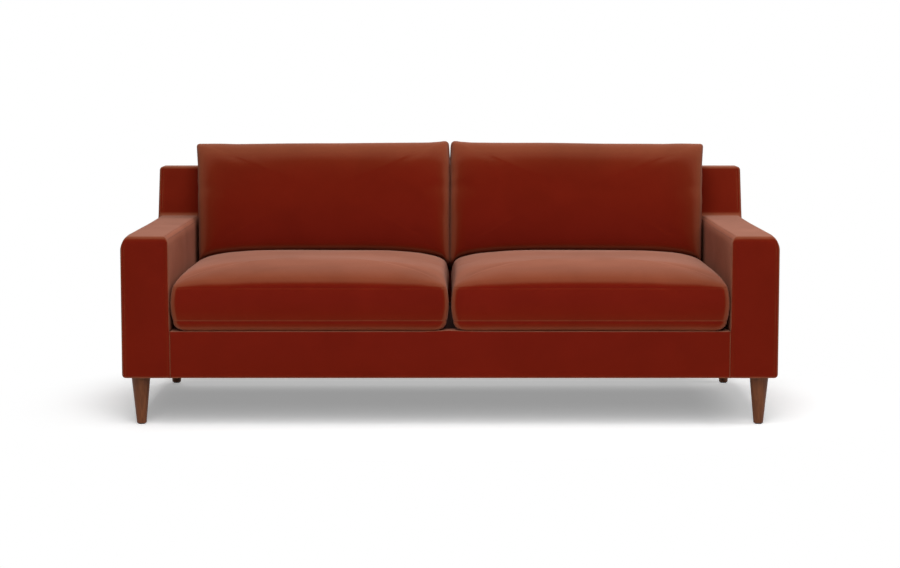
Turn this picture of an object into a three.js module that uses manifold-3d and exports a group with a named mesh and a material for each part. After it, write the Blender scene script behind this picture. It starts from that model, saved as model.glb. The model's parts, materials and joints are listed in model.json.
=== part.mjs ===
// A two-seat velvet sofa with track arms that sweep up into a raked back, on four tapered wooden legs.
// Sizes are in millimetres. X runs to the right as seen from the front, Y from front to back, Z up.
// The pieces are drawn with Y measured from the front of the arms. The last lines move the origin to
// the floor under the middle of the sofa.
// The frame is plywood and hardwood, with zig-zag steel springs under the seat and webbing in the back.
// Foam pads and velvet covers go over it, and four loose cushions, each a zipped cover on a core, lie in it.

import * as THREE from "three";
import { mergeVertices } from "three/addons/utils/BufferGeometryUtils.js";
import Module from "manifold-3d";

const wasm = await Module();
wasm.setup();

// Overall sizes
const overallWidth = 2134;
const overallDepth = 1000;
const armHeight = 622;
const backHeight = 801;
const legHeight = 160;
const armWidth = 153;
const deckHeight = 313;

// The side's outline: the back's depth at its top, the rakes and the rounds
const backTopDepth = 92.6;
const insideRake = THREE.MathUtils.degToRad(17.2);
const outsideRake = THREE.MathUtils.degToRad(8);
const armSweep = 42;
const backTopRound = 13;
const armFrontRound = 12;
const edgeRound = 8;

// Fit: the gap between pieces that touch, and how far a cutter runs past what it cuts
const clear = 0.3;
const overrun = 5;

// Upholstery on the frame
const coverWall = 3;
const armPad = 12;
const backPad = 25;
const deckPad = 8;
const turnUnder = 30;
const outerTurnUnder = 15;
const deckReturn = 70;
const railRound = 13;
const backPanelMargin = 12;
const dustCoverWall = 1;
const dustCoverMargin = 14;
const dustCoverHoleClear = 3;

// Wooden frame
const panelThickness = 18;
const panelWindowCount = 3;
const panelWindowHeight = 190;
const panelWindowRib = 55;
const panelWindowStart = 130;
const panelWindowRound = 35;
const panelWindowDrop = 70;
const postDepth = 45;
const armBoardThickness = 18;
const frontRailDepth = 32;
const frontRailLip = 14;
const springLedgeDrop = 28;
const backRailThickness = 25;
const backRailSetback = 37;
const stretcherThickness = 32;
const stretcherHeight = 85;
const backBoardThickness = 25;
const topRailHeight = 80;
const topRailDrop = 20;
const lowerRailHeight = 60;
const lowerRailRise = 15;
const centrePostWidth = 45;
const webbingThickness = 2;
const webbingWidth = 70;
const webbingLevels = ["lower", "upper"];

// Legs, their plates and blocks
const legInset = 53;
const frontLegPlace = 60;
const rearLegSetback = 48;
const legTopRadius = 29;
const legFootRadius = 16;
const legEase = 2;
const glideHeight = 3;
const glideRadius = 12;
const boltRadius = 4;
const boltReach = 32;
const boltRise = 14;
const boltClear = 0.5;
const plateSize = 56;
const plateThickness = 2.5;
const plateScrewRadius = 2.5;
const plateScrewMargin = 9;
const legBlockLength = 58;
const legBlockHeight = 40;

// Zig-zag seat springs and the wire that ties them
const springCount = 8;
const springMargin = 131;
const springWireRadius = 1.9;
const springHalfWidth = 28;
const springWaves = 7;
const springLoopLean = 13;
const clipWidth = 18;
const clipDepth = 16;
const clipWall = 1.8;
const clipGrip = 3;
const tieWireRadius = 1.6;

// Loose cushions
const seatCushion = {
  gapToMiddle: 4,
  gapToArm: 8,
  gapToBack: 10,
  frontSetback: 8,
  lowSeam: 34,
  highSeam: 141,
  crown: 72,
  cornerRound: 46,
  drawIn: 4,
  sideBulge: 3,
};
const backCushion = {
  gapToMiddle: 3,
  gapToArm: 5,
  length: 398,
  lowSeam: 28,
  highSeam: 112,
  crown: 72,
  cornerRound: 30,
  drawIn: 7,
  sideBulge: 4,
};
const cushionWall = 4;
const zipMargin = 141;
const zipOpening = 5;

// How fine the curves are
const arcSteps = 4;
const edgeSteps = 2;
const legSides = 20;
const roundSides = 8;
const holeSides = 6;
const windowSteps = 2;
const wireSides = 4;
const stepsPerWave = 8;
const longSideSteps = 6;
const shortSideSteps = 4;
const cornerSteps = 3;
const standSteps = 100;

// A cushion's rings: how far round the lower edge's quarter circle and how far out on the crown each
// lies, and how the crown's height falls from the middle to the seam
const coverRings = { lowShares: [0, 0.5, 1], crownShares: [0.985, 0.95, 0.88, 0.76, 0.58, 0.34] };
const coreRings = { lowShares: [0, 1], crownShares: [0.94, 0.78, 0.45] };
const crownFallShare = 3.5;
const crownFullnessShare = 0.36;

// Places worked out from the sizes above
const outerFace = overallWidth / 2;
const innerFace = outerFace - armWidth;
const backSlant = (backHeight - armHeight) * Math.tan(insideRake);
const armTopLength = overallDepth - backTopDepth - backSlant;
const padOuterInset = coverWall + clear;
const padInnerInset = padOuterInset + armPad;
const frameInset = padInnerInset + clear;
const frameBottom = legHeight + coverWall + clear;
const panelInside = innerFace + frameInset;
const panelInsideEnd = panelInside + panelThickness;
const panelOutside = outerFace - frameInset;
const panelOutsideStart = panelOutside - panelThickness;
const betweenPanels = [panelInsideEnd + clear, panelOutsideStart - clear];
const railReach = panelInside - clear;
const fabricReach = innerFace - clear;
const springLedge = deckHeight - springLedgeDrop;
const deckPadBottom = deckHeight - coverWall - clear - deckPad;
const deckRear = outsideBackAt(legHeight) - backRailSetback;
const backRailFront = deckRear - backRailThickness;
const backFrameInset = coverWall + clear + backPad + clear;

// Where the back's two raked faces lie at a height
function insideBackAt(z) {
  return armTopLength + (z - armHeight) * Math.tan(insideRake);
}

function outsideBackAt(z) {
  const roundsOff = backTopRound * (Math.tan(outsideRake) + 1 / Math.cos(outsideRake) - 1);
  return overallDepth + roundsOff + (z - backHeight) * Math.tan(outsideRake);
}

// Materials, one of its own for each piece
function finish(color, roughness, metalness = 0) {
  return () => new THREE.MeshStandardMaterial({ color, roughness, metalness });
}

const velvet = finish(0x8f3322, 0.85);
const walnut = finish(0x5f3a26, 0.5);
const plywood = finish(0xc9a877, 0.7);
const hardwood = finish(0xb98d5a, 0.7);
const steel = finish(0x8c8f92, 0.4, 1);
const foam = finish(0xe9dfb4, 0.95);
const fibre = finish(0xf1eee6, 0.95);
const decking = finish(0x5a2a20, 0.9);
const lining = finish(0x1d1c1c, 0.95);
const webbing = finish(0x2e2c2a, 0.9);
const nylon = finish(0x2b2b2b, 0.5);

// A geometry as a solid that can be cut and joined
function solid(geometry) {
  const bare = new THREE.BufferGeometry();
  const loose = geometry.index ? geometry.toNonIndexed() : geometry;
  bare.setAttribute("position", loose.getAttribute("position"));
  const merged = mergeVertices(bare);
  return new wasm.Manifold(
    new wasm.Mesh({
      numProp: 3,
      vertProperties: merged.attributes.position.array,
      triVerts: new Uint32Array(merged.index.array),
    }),
  );
}

// A solid as a named mesh with a material of its own
function piece(name, made, material) {
  const { vertProperties, triVerts } = made.getMesh();
  const geometry = new THREE.BufferGeometry();
  geometry.setAttribute("position", new THREE.BufferAttribute(vertProperties, 3));
  geometry.setIndex(new THREE.BufferAttribute(triVerts, 1));
  const flat = geometry.toNonIndexed();
  flat.computeVertexNormals();
  const mesh = new THREE.Mesh(flat, material());
  mesh.name = name;
  return mesh;
}

// A block between two corners' coordinates
function block([x0, x1], [y0, y1], [z0, z1]) {
  const geometry = new THREE.BoxGeometry(x1 - x0, y1 - y0, z1 - z0);
  geometry.translate((x0 + x1) / 2, (y0 + y1) / 2, (z0 + z1) / 2);
  return solid(geometry);
}

// A closed outline through corners of the form [across, up, round], with each corner rounded by an arc
function outlineShape(corners) {
  const shape = new THREE.Shape();
  const at = (i) => {
    const [a, b] = corners[(i + corners.length) % corners.length];
    return new THREE.Vector2(a, b);
  };
  corners.forEach(([, , round], i) => {
    const here = at(i);
    const behind = at(i - 1).sub(here).normalize();
    const ahead = at(i + 1).sub(here).normalize();
    const half = Math.acos(behind.dot(ahead)) / 2;
    const reach = round > 0 ? round / Math.tan(half) : 0;
    const start = here.clone().addScaledVector(behind, reach);
    if (i === 0) shape.moveTo(start.x, start.y);
    else shape.lineTo(start.x, start.y);
    if (round <= 0) return;
    const end = here.clone().addScaledVector(ahead, reach);
    const inward = behind.clone().add(ahead).normalize();
    const centre = here.clone().addScaledVector(inward, round / Math.sin(half));
    const from = start.clone().sub(centre).angle();
    const to = end.clone().sub(centre).angle();
    shape.absarc(centre.x, centre.y, round, from, to, behind.cross(ahead) > 0);
  });
  shape.closePath();
  return shape;
}

// A rounded rectangle as an outline
function rectangle([a0, a1], [b0, b1], round) {
  const corners = [
    [a0, b0],
    [a1, b0],
    [a1, b1],
    [a0, b1],
  ];
  return outlineShape(corners.map(([a, b]) => [a, b, round]));
}

// An outline drawn in Y and Z, made solid from x0 to x1, with the edges of its two ends rounded
function alongX(shape, [x0, x1], round = 0, steps = arcSteps) {
  const geometry = new THREE.ExtrudeGeometry(shape, {
    depth: x1 - x0 - 2 * round,
    curveSegments: steps,
    bevelEnabled: round > 0,
    bevelThickness: round,
    bevelSize: round,
    bevelOffset: -round,
    bevelSegments: edgeSteps,
  });
  geometry.translate(0, 0, x0 + round);
  geometry.applyMatrix4(new THREE.Matrix4().set(0, 0, 1, 0, 1, 0, 0, 0, 0, 1, 0, 0, 0, 0, 0, 1));
  return solid(geometry);
}

// A profile of [radius, height] points turned about the Z axis through x, y
function turned(points, sides, [x, y]) {
  const profile = points.map(([radius, z]) => new THREE.Vector2(radius, z));
  const geometry = new THREE.LatheGeometry(profile, sides);
  geometry.rotateX(Math.PI / 2);
  geometry.translate(x, y, 0);
  return solid(geometry);
}

function upright(radius, [x, y], [z0, z1], sides = roundSides) {
  const points = [
    [0, z0],
    [radius, z0],
    [radius, z1],
    [0, z1],
  ];
  return turned(points, sides, [x, y]);
}

// The side's L-shaped outline, drawn in by an inset: along the foot, up the raked back, over its top,
// down its front and round the sweep into the arm's top
function sideOutline({ inset, foot, armTop = armHeight - inset, rear = inset }) {
  const top = backHeight - inset;
  const inside = (z) => insideBackAt(z) + inset / Math.cos(insideRake);
  const outside = (z) => outsideBackAt(z) - rear / Math.cos(outsideRake);
  return outlineShape([
    [inset, foot, 0],
    [outside(foot), foot, 0],
    [outside(top), top, Math.max(backTopRound - inset, 0)],
    [inside(top), top, Math.max(backTopRound - inset, 0)],
    [inside(armTop), armTop, armSweep + inset],
    [inset, armTop, Math.max(armFrontRound - inset, 0)],
  ]);
}

// The back's raked outline between the arms, drawn in by an inset
function backOutline({ inset, foot }) {
  const top = backHeight - inset;
  const inside = (z) => insideBackAt(z) + inset / Math.cos(insideRake);
  const outside = (z) => outsideBackAt(z) - inset / Math.cos(outsideRake);
  return outlineShape([
    [inside(foot), foot, 0],
    [outside(foot), foot, 0],
    [outside(top), top, Math.max(backTopRound - inset, 0)],
    [inside(top), top, Math.max(backTopRound - inset, 0)],
  ]);
}

// A raked slab behind the inside back: its front lies deep behind the velvet, between two heights
function insideBackSlab(deep, thickness, [z0, z1]) {
  const front = (z) => insideBackAt(z) + deep / Math.cos(insideRake);
  const across = thickness / Math.cos(insideRake);
  return outlineShape([
    [front(z0), z0, 0],
    [front(z0) + across, z0, 0],
    [front(z1) + across, z1, 0],
    [front(z1), z1, 0],
  ]);
}

// A sheet on the outside back's raked face, its outer side grown by a margin
function outsideBackSheet(thickness, [z0, z1], grown = 0) {
  const across = 1 / Math.cos(outsideRake);
  const face = (z) => outsideBackAt(z) + grown * across;
  const depth = (thickness + grown) * across;
  return outlineShape([
    [face(z0) - depth, z0, 0],
    [face(z0), z0, 0],
    [face(z1), z1, 0],
    [face(z1) - depth, z1, 0],
  ]);
}

// The outside back's opening in the covers, which the rear panel fills with a gap all round
const rearPanelReach = outerFace - backPanelMargin;
const rearPanelTop = backHeight - backTopRound - clear;

function rearOpening() {
  const sheet = outsideBackSheet(coverWall + overrun, [legHeight - overrun, rearPanelTop + clear], overrun);
  return alongX(sheet, [-rearPanelReach - clear, rearPanelReach + clear]);
}

// The arm's velvet cover: one shell over the arm and the back's end, open behind, below, and on its
// inner side wherever the seat and back frames come through
function armCover() {
  const outside = alongX(sideOutline({ inset: 0, foot: legHeight }), [innerFace, outerFace], edgeRound);
  const hollow = alongX(
    sideOutline({ inset: coverWall, foot: legHeight + coverWall }),
    [innerFace + coverWall, outerFace - coverWall],
    edgeRound - coverWall,
  );
  const below = block(
    [innerFace + turnUnder, outerFace - outerTurnUnder],
    [turnUnder, outsideBackAt(legHeight) - outerTurnUnder],
    [legHeight - overrun, legHeight + coverWall + overrun],
  );
  const throughSide = alongX(
    sideOutline({ inset: coverWall, foot: legHeight + coverWall, armTop: deckHeight - coverWall }),
    [innerFace - overrun, innerFace + coverWall + overrun],
  );
  return outside.subtract(hollow).subtract(below).subtract(throughSide).subtract(rearOpening());
}

// The arm's foam pad, inside the cover: front, top and both sides, open below and behind
function armPadding() {
  const foot = frameBottom - clear;
  const outside = alongX(
    sideOutline({ inset: padOuterInset, foot: frameBottom }),
    [innerFace + padOuterInset, outerFace - padOuterInset],
    edgeRound - coverWall,
  );
  const hollow = alongX(
    sideOutline({ inset: padInnerInset, foot: foot - overrun, rear: -overrun }),
    [innerFace + padInnerInset, outerFace - padInnerInset],
  );
  const throughSide = alongX(
    sideOutline({
      inset: coverWall,
      foot: foot - overrun,
      armTop: deckHeight - coverWall,
      rear: -overrun,
    }),
    [innerFace - overrun, innerFace + frameInset],
  );
  return outside.subtract(hollow).subtract(throughSide);
}

// A plywood side panel on the same outline, with windows along the arm to save weight
function sidePanel(range) {
  const panel = alongX(sideOutline({ inset: frameInset, foot: frameBottom }), range);
  const through = [range[0] - overrun, range[1] + overrun];
  const windowTop = armHeight - panelWindowDrop;
  const windowPitch = (armTopLength - armSweep - panelWindowStart) / panelWindowCount;
  const starts = Array.from({ length: panelWindowCount }, (_, i) => panelWindowStart + i * windowPitch);
  const windows = starts.map((start) => {
    const across = [start, start + windowPitch - panelWindowRib];
    const up = [windowTop - panelWindowHeight, windowTop];
    return alongX(rectangle(across, up, panelWindowRound), through, 0, windowSteps);
  });
  return windows.reduce((made, window) => made.subtract(window), panel);
}

// The back's top rail, which runs through notches in the inner panels to the outer ones
const topRailHeights = [backHeight - topRailDrop - topRailHeight, backHeight - topRailDrop];

function backTopRail(grown = 0) {
  const heights = [topRailHeights[0] - grown, topRailHeights[1] + grown];
  const slab = insideBackSlab(backFrameInset - grown, backBoardThickness + 2 * grown, heights);
  return alongX(slab, [-betweenPanels[1] - grown, betweenPanels[1] + grown]);
}

// The front rail, with a lip in front and a ledge behind it for the spring clips
function frontRail() {
  const front = coverWall + clear;
  const top = deckHeight - coverWall - clear;
  const shape = outlineShape([
    [front, frameBottom, 0],
    [front + frontRailDepth, frameBottom, 0],
    [front + frontRailDepth, springLedge, 0],
    [front + frontRailLip, springLedge, 0],
    [front + frontRailLip, top, 0],
    [front, top, railRound - coverWall],
  ]);
  return alongX(shape, [-railReach, railReach]);
}

// The velvet on the front rail: a strip over its face, onto the deck and under its foot
function frontRailCover() {
  const corners = (inset, depth) =>
    outlineShape([
      [inset, legHeight + inset, 0],
      [depth, legHeight + inset, 0],
      [depth, deckHeight - inset, 0],
      [inset, deckHeight - inset, railRound - inset],
    ]);
  const strip = alongX(corners(0, deckReturn), [-fabricReach, fabricReach]);
  const reach = fabricReach + overrun;
  const hollow = alongX(corners(coverWall, deckReturn + overrun), [-reach, reach]);
  const trim = block(
    [-reach, reach],
    [turnUnder, deckReturn + overrun],
    [legHeight - overrun, legHeight + coverWall + overrun],
  );
  return strip.subtract(hollow).subtract(trim);
}

// The velvet on the inside back: its raked face, the top and a lip behind that meets the rear panel
function insideBackCover() {
  const foot = deckHeight + clear;
  const whole = alongX(backOutline({ inset: 0, foot }), [-fabricReach, fabricReach]);
  const reach = fabricReach + overrun;
  const hollow = alongX(backOutline({ inset: coverWall, foot: foot - overrun }), [-reach, reach]);
  return whole.subtract(hollow).subtract(rearOpening());
}

// The dust cover under the base, with a round hole for each leg
function dustCover(legPlaces) {
  const reach = outerFace - dustCoverMargin;
  const rear = outsideBackAt(legHeight) - dustCoverMargin;
  const top = legHeight - clear;
  const sheet = block([-reach, reach], [dustCoverMargin, rear], [top - dustCoverWall, top]);
  const radius = legTopRadius + dustCoverHoleClear;
  const hole = (place) => upright(radius, place, [top - overrun, top + overrun], legSides / 2);
  return legPlaces.reduce((made, place) => made.subtract(hole(place)), sheet);
}

// The parts of one leg, from the floor up: glide, tapered leg, plate with its bolt, and block
const plateTop = frameBottom - clear;
const plateBottom = plateTop - plateThickness;
const legTop = plateBottom - clear;
const boltFoot = plateBottom - boltReach;

function leg(place) {
  const foot = glideHeight + clear;
  const hole = boltRadius + boltClear;
  const points = [
    [0, foot],
    [legFootRadius - legEase, foot],
    [legFootRadius, foot + legEase],
    [legTopRadius, legTop],
    [hole, legTop],
    [hole, boltFoot - boltClear],
    [0, boltFoot - boltClear],
  ];
  return turned(points, legSides, place);
}

function glide(place) {
  return upright(glideRadius, place, [0, glideHeight]);
}

function legPlate([x, y]) {
  const half = plateSize / 2;
  const screw = half - plateScrewMargin;
  const plate = block([x - half, x + half], [y - half, y + half], [plateBottom, plateTop]);
  const bolt = upright(boltRadius, [x, y], [boltFoot, plateTop + boltRise]);
  const corners = [-screw, screw].flatMap((dx) => [-screw, screw].map((dy) => [x + dx, y + dy]));
  const drill = [plateBottom - overrun, plateTop + overrun];
  const holes = corners.map((corner) => upright(plateScrewRadius, corner, drill, holeSides));
  return holes.reduce((made, hole) => made.subtract(hole), plate.add(bolt));
}

function legBlock([x, y]) {
  const half = legBlockLength / 2;
  const body = block(betweenPanels, [y - half, y + half], [frameBottom, frameBottom + legBlockHeight]);
  const bore = [frameBottom - overrun, plateTop + boltRise + boltClear];
  return body.subtract(upright(boltRadius + boltClear, [x, y], bore));
}

// A zig-zag spring's centre line: x swings from side to side, y leans back and forth so that the loops
// are full and the runs lie square across, and z arches over the seat. Its end runs are pressed into the
// clips by the clearance, so a spring and its two clips are one piece.
const springFrontClip = coverWall + clear + frontRailDepth - clipDepth / 2;
const springRearClip = backRailFront + clipDepth / 2;
const springSeat = springLedge + clipWall + springWireRadius;
const springRise = deckPadBottom - clear - springWireRadius - springSeat;

class ZigZag extends THREE.Curve {
  constructor(middle) {
    super();
    this.middle = middle;
  }

  getPoint(t, target = new THREE.Vector3()) {
    const turns = 2 * Math.PI * springWaves;
    const spare = Math.PI / 4;
    const phase = -spare + t * (turns + 2 * spare);
    const along = THREE.MathUtils.clamp(phase / turns, 0, 1);
    const y = springFrontClip + (phase / turns) * (springRearClip - springFrontClip);
    return target.set(
      this.middle + springHalfWidth * Math.sin(phase),
      y - springLoopLean * Math.sin(2 * phase),
      springSeat + springRise * Math.sin(Math.PI * along),
    );
  }
}

// A wire of a few sides along a curve
function wire(curve, radius, steps) {
  const section = new THREE.Shape();
  for (let i = 0; i < wireSides; i++) {
    const angle = (2 * Math.PI * i) / wireSides;
    const [a, b] = [radius * Math.cos(angle), radius * Math.sin(angle)];
    if (i === 0) section.moveTo(a, b);
    else section.lineTo(a, b);
  }
  section.closePath();
  return solid(new THREE.ExtrudeGeometry(section, { steps, extrudePath: curve }));
}

// A clip nailed to a rail: its foot, a wall and a lip over the spring's end run
function springClip(middle, place, facing) {
  const low = springLedge + clear;
  const height = 2 * clipWall + 2 * springWireRadius + clipGrip;
  const across = [middle - clipWidth / 2, middle + clipWidth / 2];
  const body = block(across, [place - clipDepth / 2, place + clipDepth / 2], [low, low + height]);
  const mouth = [place - clipDepth / 2, place + clipDepth / 2];
  if (facing > 0) {
    mouth[0] += clipWall;
    mouth[1] += overrun;
  } else {
    mouth[0] -= overrun;
    mouth[1] -= clipWall;
  }
  const wide = [across[0] - overrun, across[1] + overrun];
  return body.subtract(block(wide, mouth, [low + clipWall, low + height - clipWall]));
}

function seatSpring(middle) {
  const steps = Math.round(stepsPerWave * (springWaves + 1 / 4));
  return wire(new ZigZag(middle), springWireRadius, steps)
    .add(springClip(middle, springFrontClip, 1))
    .add(springClip(middle, springRearClip, -1));
}

// The tie wire lies under the springs' middle runs and ties them together
function tieWire() {
  const y = (springFrontClip + springRearClip) / 2;
  const z = springSeat + springRise - springWireRadius - tieWireRadius - clear;
  const geometry = new THREE.CylinderGeometry(tieWireRadius, tieWireRadius, 2 * railReach, holeSides);
  geometry.rotateZ(Math.PI / 2);
  geometry.translate(0, y, z);
  return solid(geometry);
}

// The height of a cushion's top over its upper seam, by how far out it is measured
function crownAt(out) {
  return Math.pow(1 - Math.pow(out, crownFallShare), crownFullnessShare);
}

// A cushion's edge seen from above, centred on 0: a rounded rectangle whose sides pull in between corners
function cushionEdge(halfWidth, halfLength, { cornerRound, drawIn }) {
  const points = [];
  const corners = [
    [1, -1],
    [1, 1],
    [-1, 1],
    [-1, -1],
  ];
  corners.forEach(([sx, sy], i) => {
    const centre = [sx * (halfWidth - cornerRound), sy * (halfLength - cornerRound)];
    for (let k = 0; k <= cornerSteps; k++) {
      const angle = (Math.PI / 2) * (i - 1 + k / cornerSteps);
      points.push([
        centre[0] + cornerRound * Math.cos(angle),
        centre[1] + cornerRound * Math.sin(angle),
      ]);
    }
    const upSide = i % 2 === 0;
    const steps = upSide ? shortSideSteps : longSideSteps;
    const last = points[points.length - 1];
    const [mx, my] = corners[(i + 1) % corners.length];
    const next = upSide
      ? [mx * halfWidth, my * (halfLength - cornerRound)]
      : [mx * (halfWidth - cornerRound), my * halfLength];
    for (let k = 1; k < steps; k++) {
      const share = k / steps;
      const pull = drawIn * (1 - Math.pow(2 * share - 1, 2));
      const x = last[0] + (next[0] - last[0]) * share;
      const y = last[1] + (next[1] - last[1]) * share;
      points.push(upSide ? [x - sx * pull, y] : [x, y - sy * pull]);
    }
  });
  return points;
}

// A closed form from rings of equal count, each joined to the next, with a point at both ends
function ringForm(rings, lowPoint, highPoint) {
  const count = rings[0].length;
  const places = [lowPoint, ...rings.flat(), highPoint];
  const index = [];
  const at = (ring, k) => 1 + ring * count + (k % count);
  for (let k = 0; k < count; k++) {
    index.push(0, at(0, k + 1), at(0, k));
    for (let ring = 0; ring + 1 < rings.length; ring++) {
      index.push(at(ring, k), at(ring, k + 1), at(ring + 1, k + 1));
      index.push(at(ring, k), at(ring + 1, k + 1), at(ring + 1, k));
    }
    index.push(at(rings.length - 1, k), at(rings.length - 1, k + 1), places.length - 1);
  }
  const geometry = new THREE.BufferGeometry();
  geometry.setAttribute("position", new THREE.Float32BufferAttribute(places.flat(), 3));
  geometry.setIndex(index);
  return solid(geometry);
}

// A cushion's form, lying on z 0 and centred on x and y 0, drawn in all over by an inset: flat below,
// rounded up to the lower seam, a boxed side that swells to the full width, and a crown over the upper seam
function cushionForm(cushion, [width, length], inset, { lowShares, crownShares }) {
  const halfWidth = width / 2;
  const halfLength = length / 2;
  const edge = cushionEdge(halfWidth, halfLength, cushion);
  const ring = (pull, z) =>
    edge.map(([x, y]) => [
      x * (1 - (pull + inset) / halfWidth),
      y * (1 - (pull + inset) / halfLength),
      z,
    ]);
  const round = cushion.lowSeam;
  const lowRings = lowShares.map((share) => {
    const angle = (share * Math.PI) / 2;
    const pull = cushion.sideBulge + round * (1 - Math.sin(angle));
    return ring(pull, inset + (round - inset) * (1 - Math.cos(angle)));
  });
  const middle = (cushion.lowSeam + cushion.highSeam) / 2;
  const boxRings = [ring(0, middle), ring(cushion.sideBulge, cushion.highSeam)];
  const rise = cushion.crown - inset;
  const drawnIn = cushion.sideBulge + inset;
  const crownRings = crownShares.map((out) => {
    const square = Math.pow(out, 2);
    const height = cushion.highSeam + rise * crownAt(out);
    return ring(cushion.sideBulge, height).map(([x, y, z], k) => {
      const angle = Math.atan2(edge[k][1] / halfLength, edge[k][0] / halfWidth);
      const oval = [
        (halfWidth - drawnIn) * Math.cos(angle),
        (halfLength - drawnIn) * Math.sin(angle),
      ];
      return [
        out * (x * square + oval[0] * (1 - square)),
        out * (y * square + oval[1] * (1 - square)),
        z,
      ];
    });
  });
  const top = cushion.highSeam + rise;
  return ringForm([...lowRings, ...boxRings, ...crownRings], [0, 0, inset], [0, 0, top]);
}

// A cushion's two pieces: the cover, open at a zip along one long side, and the core inside it
function cushionCover(cushion, [width, length], zipSide) {
  const z = (cushion.lowSeam + cushion.highSeam) / 2;
  const reach = cushionWall + cushion.drawIn + overrun;
  const y = (zipSide * length) / 2;
  const zip = block(
    [zipMargin - width / 2, width / 2 - zipMargin],
    [y - reach, y + reach],
    [z - zipOpening / 2, z + zipOpening / 2],
  );
  return cushionForm(cushion, [width, length], 0, coverRings)
    .subtract(cushionForm(cushion, [width, length], cushionWall, coreRings))
    .subtract(zip);
}

function cushionCore(cushion, size) {
  return cushionForm(cushion, size, cushionWall + clear, coreRings);
}

// The line across which the back cushion stands on the seat cushion's crown, square to the back's rake
function cushionStand() {
  const half = seatLength / 2;
  const reach = half - seatCushion.sideBulge;
  const base = deckHeight + clear + seatCushion.highSeam;
  const steps = Array.from({ length: standSteps }, (_, i) => i / standSteps);
  const heights = steps.map((out) => {
    const y = seatCushion.frontSetback + half + out * reach;
    const z = base + seatCushion.crown * crownAt(out);
    return y * Math.sin(insideRake) + z * Math.cos(insideRake);
  });
  return Math.max(...heights) + clear;
}

const sofa = new THREE.Group();

// Seat and back frame
const stretcherSpan = [coverWall + clear + frontRailDepth + clear, backRailFront - clear];
const stretcher = block(
  [-stretcherThickness / 2, stretcherThickness / 2],
  stretcherSpan,
  [frameBottom, frameBottom + stretcherHeight],
);
const backRail = block([-railReach, railReach], [backRailFront, deckRear], [frameBottom, springLedge]);
const lowerRailBottom = deckHeight + lowerRailRise;
const lowerRailTop = lowerRailBottom + lowerRailHeight;
const lowerRail = insideBackSlab(backFrameInset, backBoardThickness, [lowerRailBottom, lowerRailTop]);
const postSetback = backFrameInset + webbingThickness + clear;
const postHeights = [lowerRailTop + clear, topRailHeights[0] - clear];
const centrePost = insideBackSlab(postSetback, backBoardThickness - webbingThickness, postHeights);
sofa.add(
  piece("front_rail", frontRail(), hardwood),
  piece("back_rail", backRail, hardwood),
  piece("centre_stretcher", stretcher, hardwood),
  piece("back_top_rail", backTopRail(), hardwood),
  piece("back_lower_rail", alongX(lowerRail, [-railReach, railReach]), hardwood),
  piece("back_centre_post", alongX(centrePost, [-centrePostWidth / 2, centrePostWidth / 2]), hardwood),
);

// Seat springs, their tie wire and the back's webbing
const springPitch = (2 * (railReach - springMargin)) / (springCount - 1);
for (let i = 0; i < springCount; i++) {
  const middle = (i - (springCount - 1) / 2) * springPitch;
  sofa.add(piece(`seat_spring_${i + 1}`, seatSpring(middle), steel));
}
sofa.add(piece("spring_tie_wire", tieWire(), steel));
const webbingRise = webbingWidth * Math.cos(insideRake);
const webbingRoom = topRailHeights[0] - lowerRailTop - webbingLevels.length * webbingRise;
const webbingGap = webbingRoom / (webbingLevels.length + 1);
webbingLevels.forEach((level, i) => {
  const low = lowerRailTop + webbingGap + i * (webbingRise + webbingGap);
  const strap = insideBackSlab(backFrameInset, webbingThickness, [low, low + webbingRise]);
  sofa.add(piece(`back_webbing_${level}`, alongX(strap, [-railReach, railReach]), webbing));
});

// Covers and pads between the arms
const backPadHeights = [lowerRailBottom, topRailHeights[1]];
const backPadSlab = insideBackSlab(coverWall + clear, backPad, backPadHeights);
const rearPanel = outsideBackSheet(coverWall, [legHeight, rearPanelTop]);
const deckPadFront = coverWall + clear + frontRailLip + clear;
const deckSheet = block(
  [-fabricReach, fabricReach],
  [deckReturn + clear, deckRear],
  [deckHeight - coverWall, deckHeight],
);
const deckFelt = block(
  [-fabricReach, fabricReach],
  [deckPadFront, deckRear],
  [deckPadBottom, deckPadBottom + deckPad],
);
sofa.add(
  piece("front_rail_cover", frontRailCover(), velvet),
  piece("inside_back_pad", alongX(backPadSlab, [-fabricReach, fabricReach]), foam),
  piece("inside_back_cover", insideBackCover(), velvet),
  piece("outside_back_cover", alongX(rearPanel, [-rearPanelReach, rearPanelReach]), velvet),
  piece("deck_pad", deckFelt, fibre),
  piece("deck_cover", deckSheet, decking),
);

// Each side: arm, legs and cushions. The left is the mirror of the right, which is drawn.
const legX = outerFace - legInset;
const legPlaces = {
  front: [legX, frontLegPlace],
  rear: [legX, outsideBackAt(legHeight) - rearLegSetback],
};
const postHeight = [frameBottom + legBlockHeight + clear, armHeight - frameInset - armBoardThickness - clear];
const seatWidth = innerFace - seatCushion.gapToMiddle - seatCushion.gapToArm;
const seatLength = insideBackAt(deckHeight) - seatCushion.frontSetback - seatCushion.gapToBack;
const backWidth = innerFace - backCushion.gapToMiddle - backCushion.gapToArm;
const standHeight = cushionStand();
const backFaceOffset = armHeight * Math.sin(insideRake) - armTopLength * Math.cos(insideRake) + clear;

function armPieces(side) {
  const board = block(
    betweenPanels,
    [frameInset, armTopLength - armSweep],
    [armHeight - frameInset - armBoardThickness, armHeight - frameInset],
  );
  const post = block(betweenPanels, [frameInset, frameInset + postDepth], postHeight);
  const innerPanel = sidePanel([panelInside, panelInsideEnd]).subtract(backTopRail(clear));
  return [
    piece(`arm_outer_panel_${side}`, sidePanel([panelOutsideStart, panelOutside]), plywood),
    piece(`arm_inner_panel_${side}`, innerPanel, plywood),
    piece(`arm_front_post_${side}`, post, hardwood),
    piece(`arm_top_board_${side}`, board, plywood),
    piece(`arm_pad_${side}`, armPadding(), foam),
    piece(`arm_cover_${side}`, armCover(), velvet),
  ];
}

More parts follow.
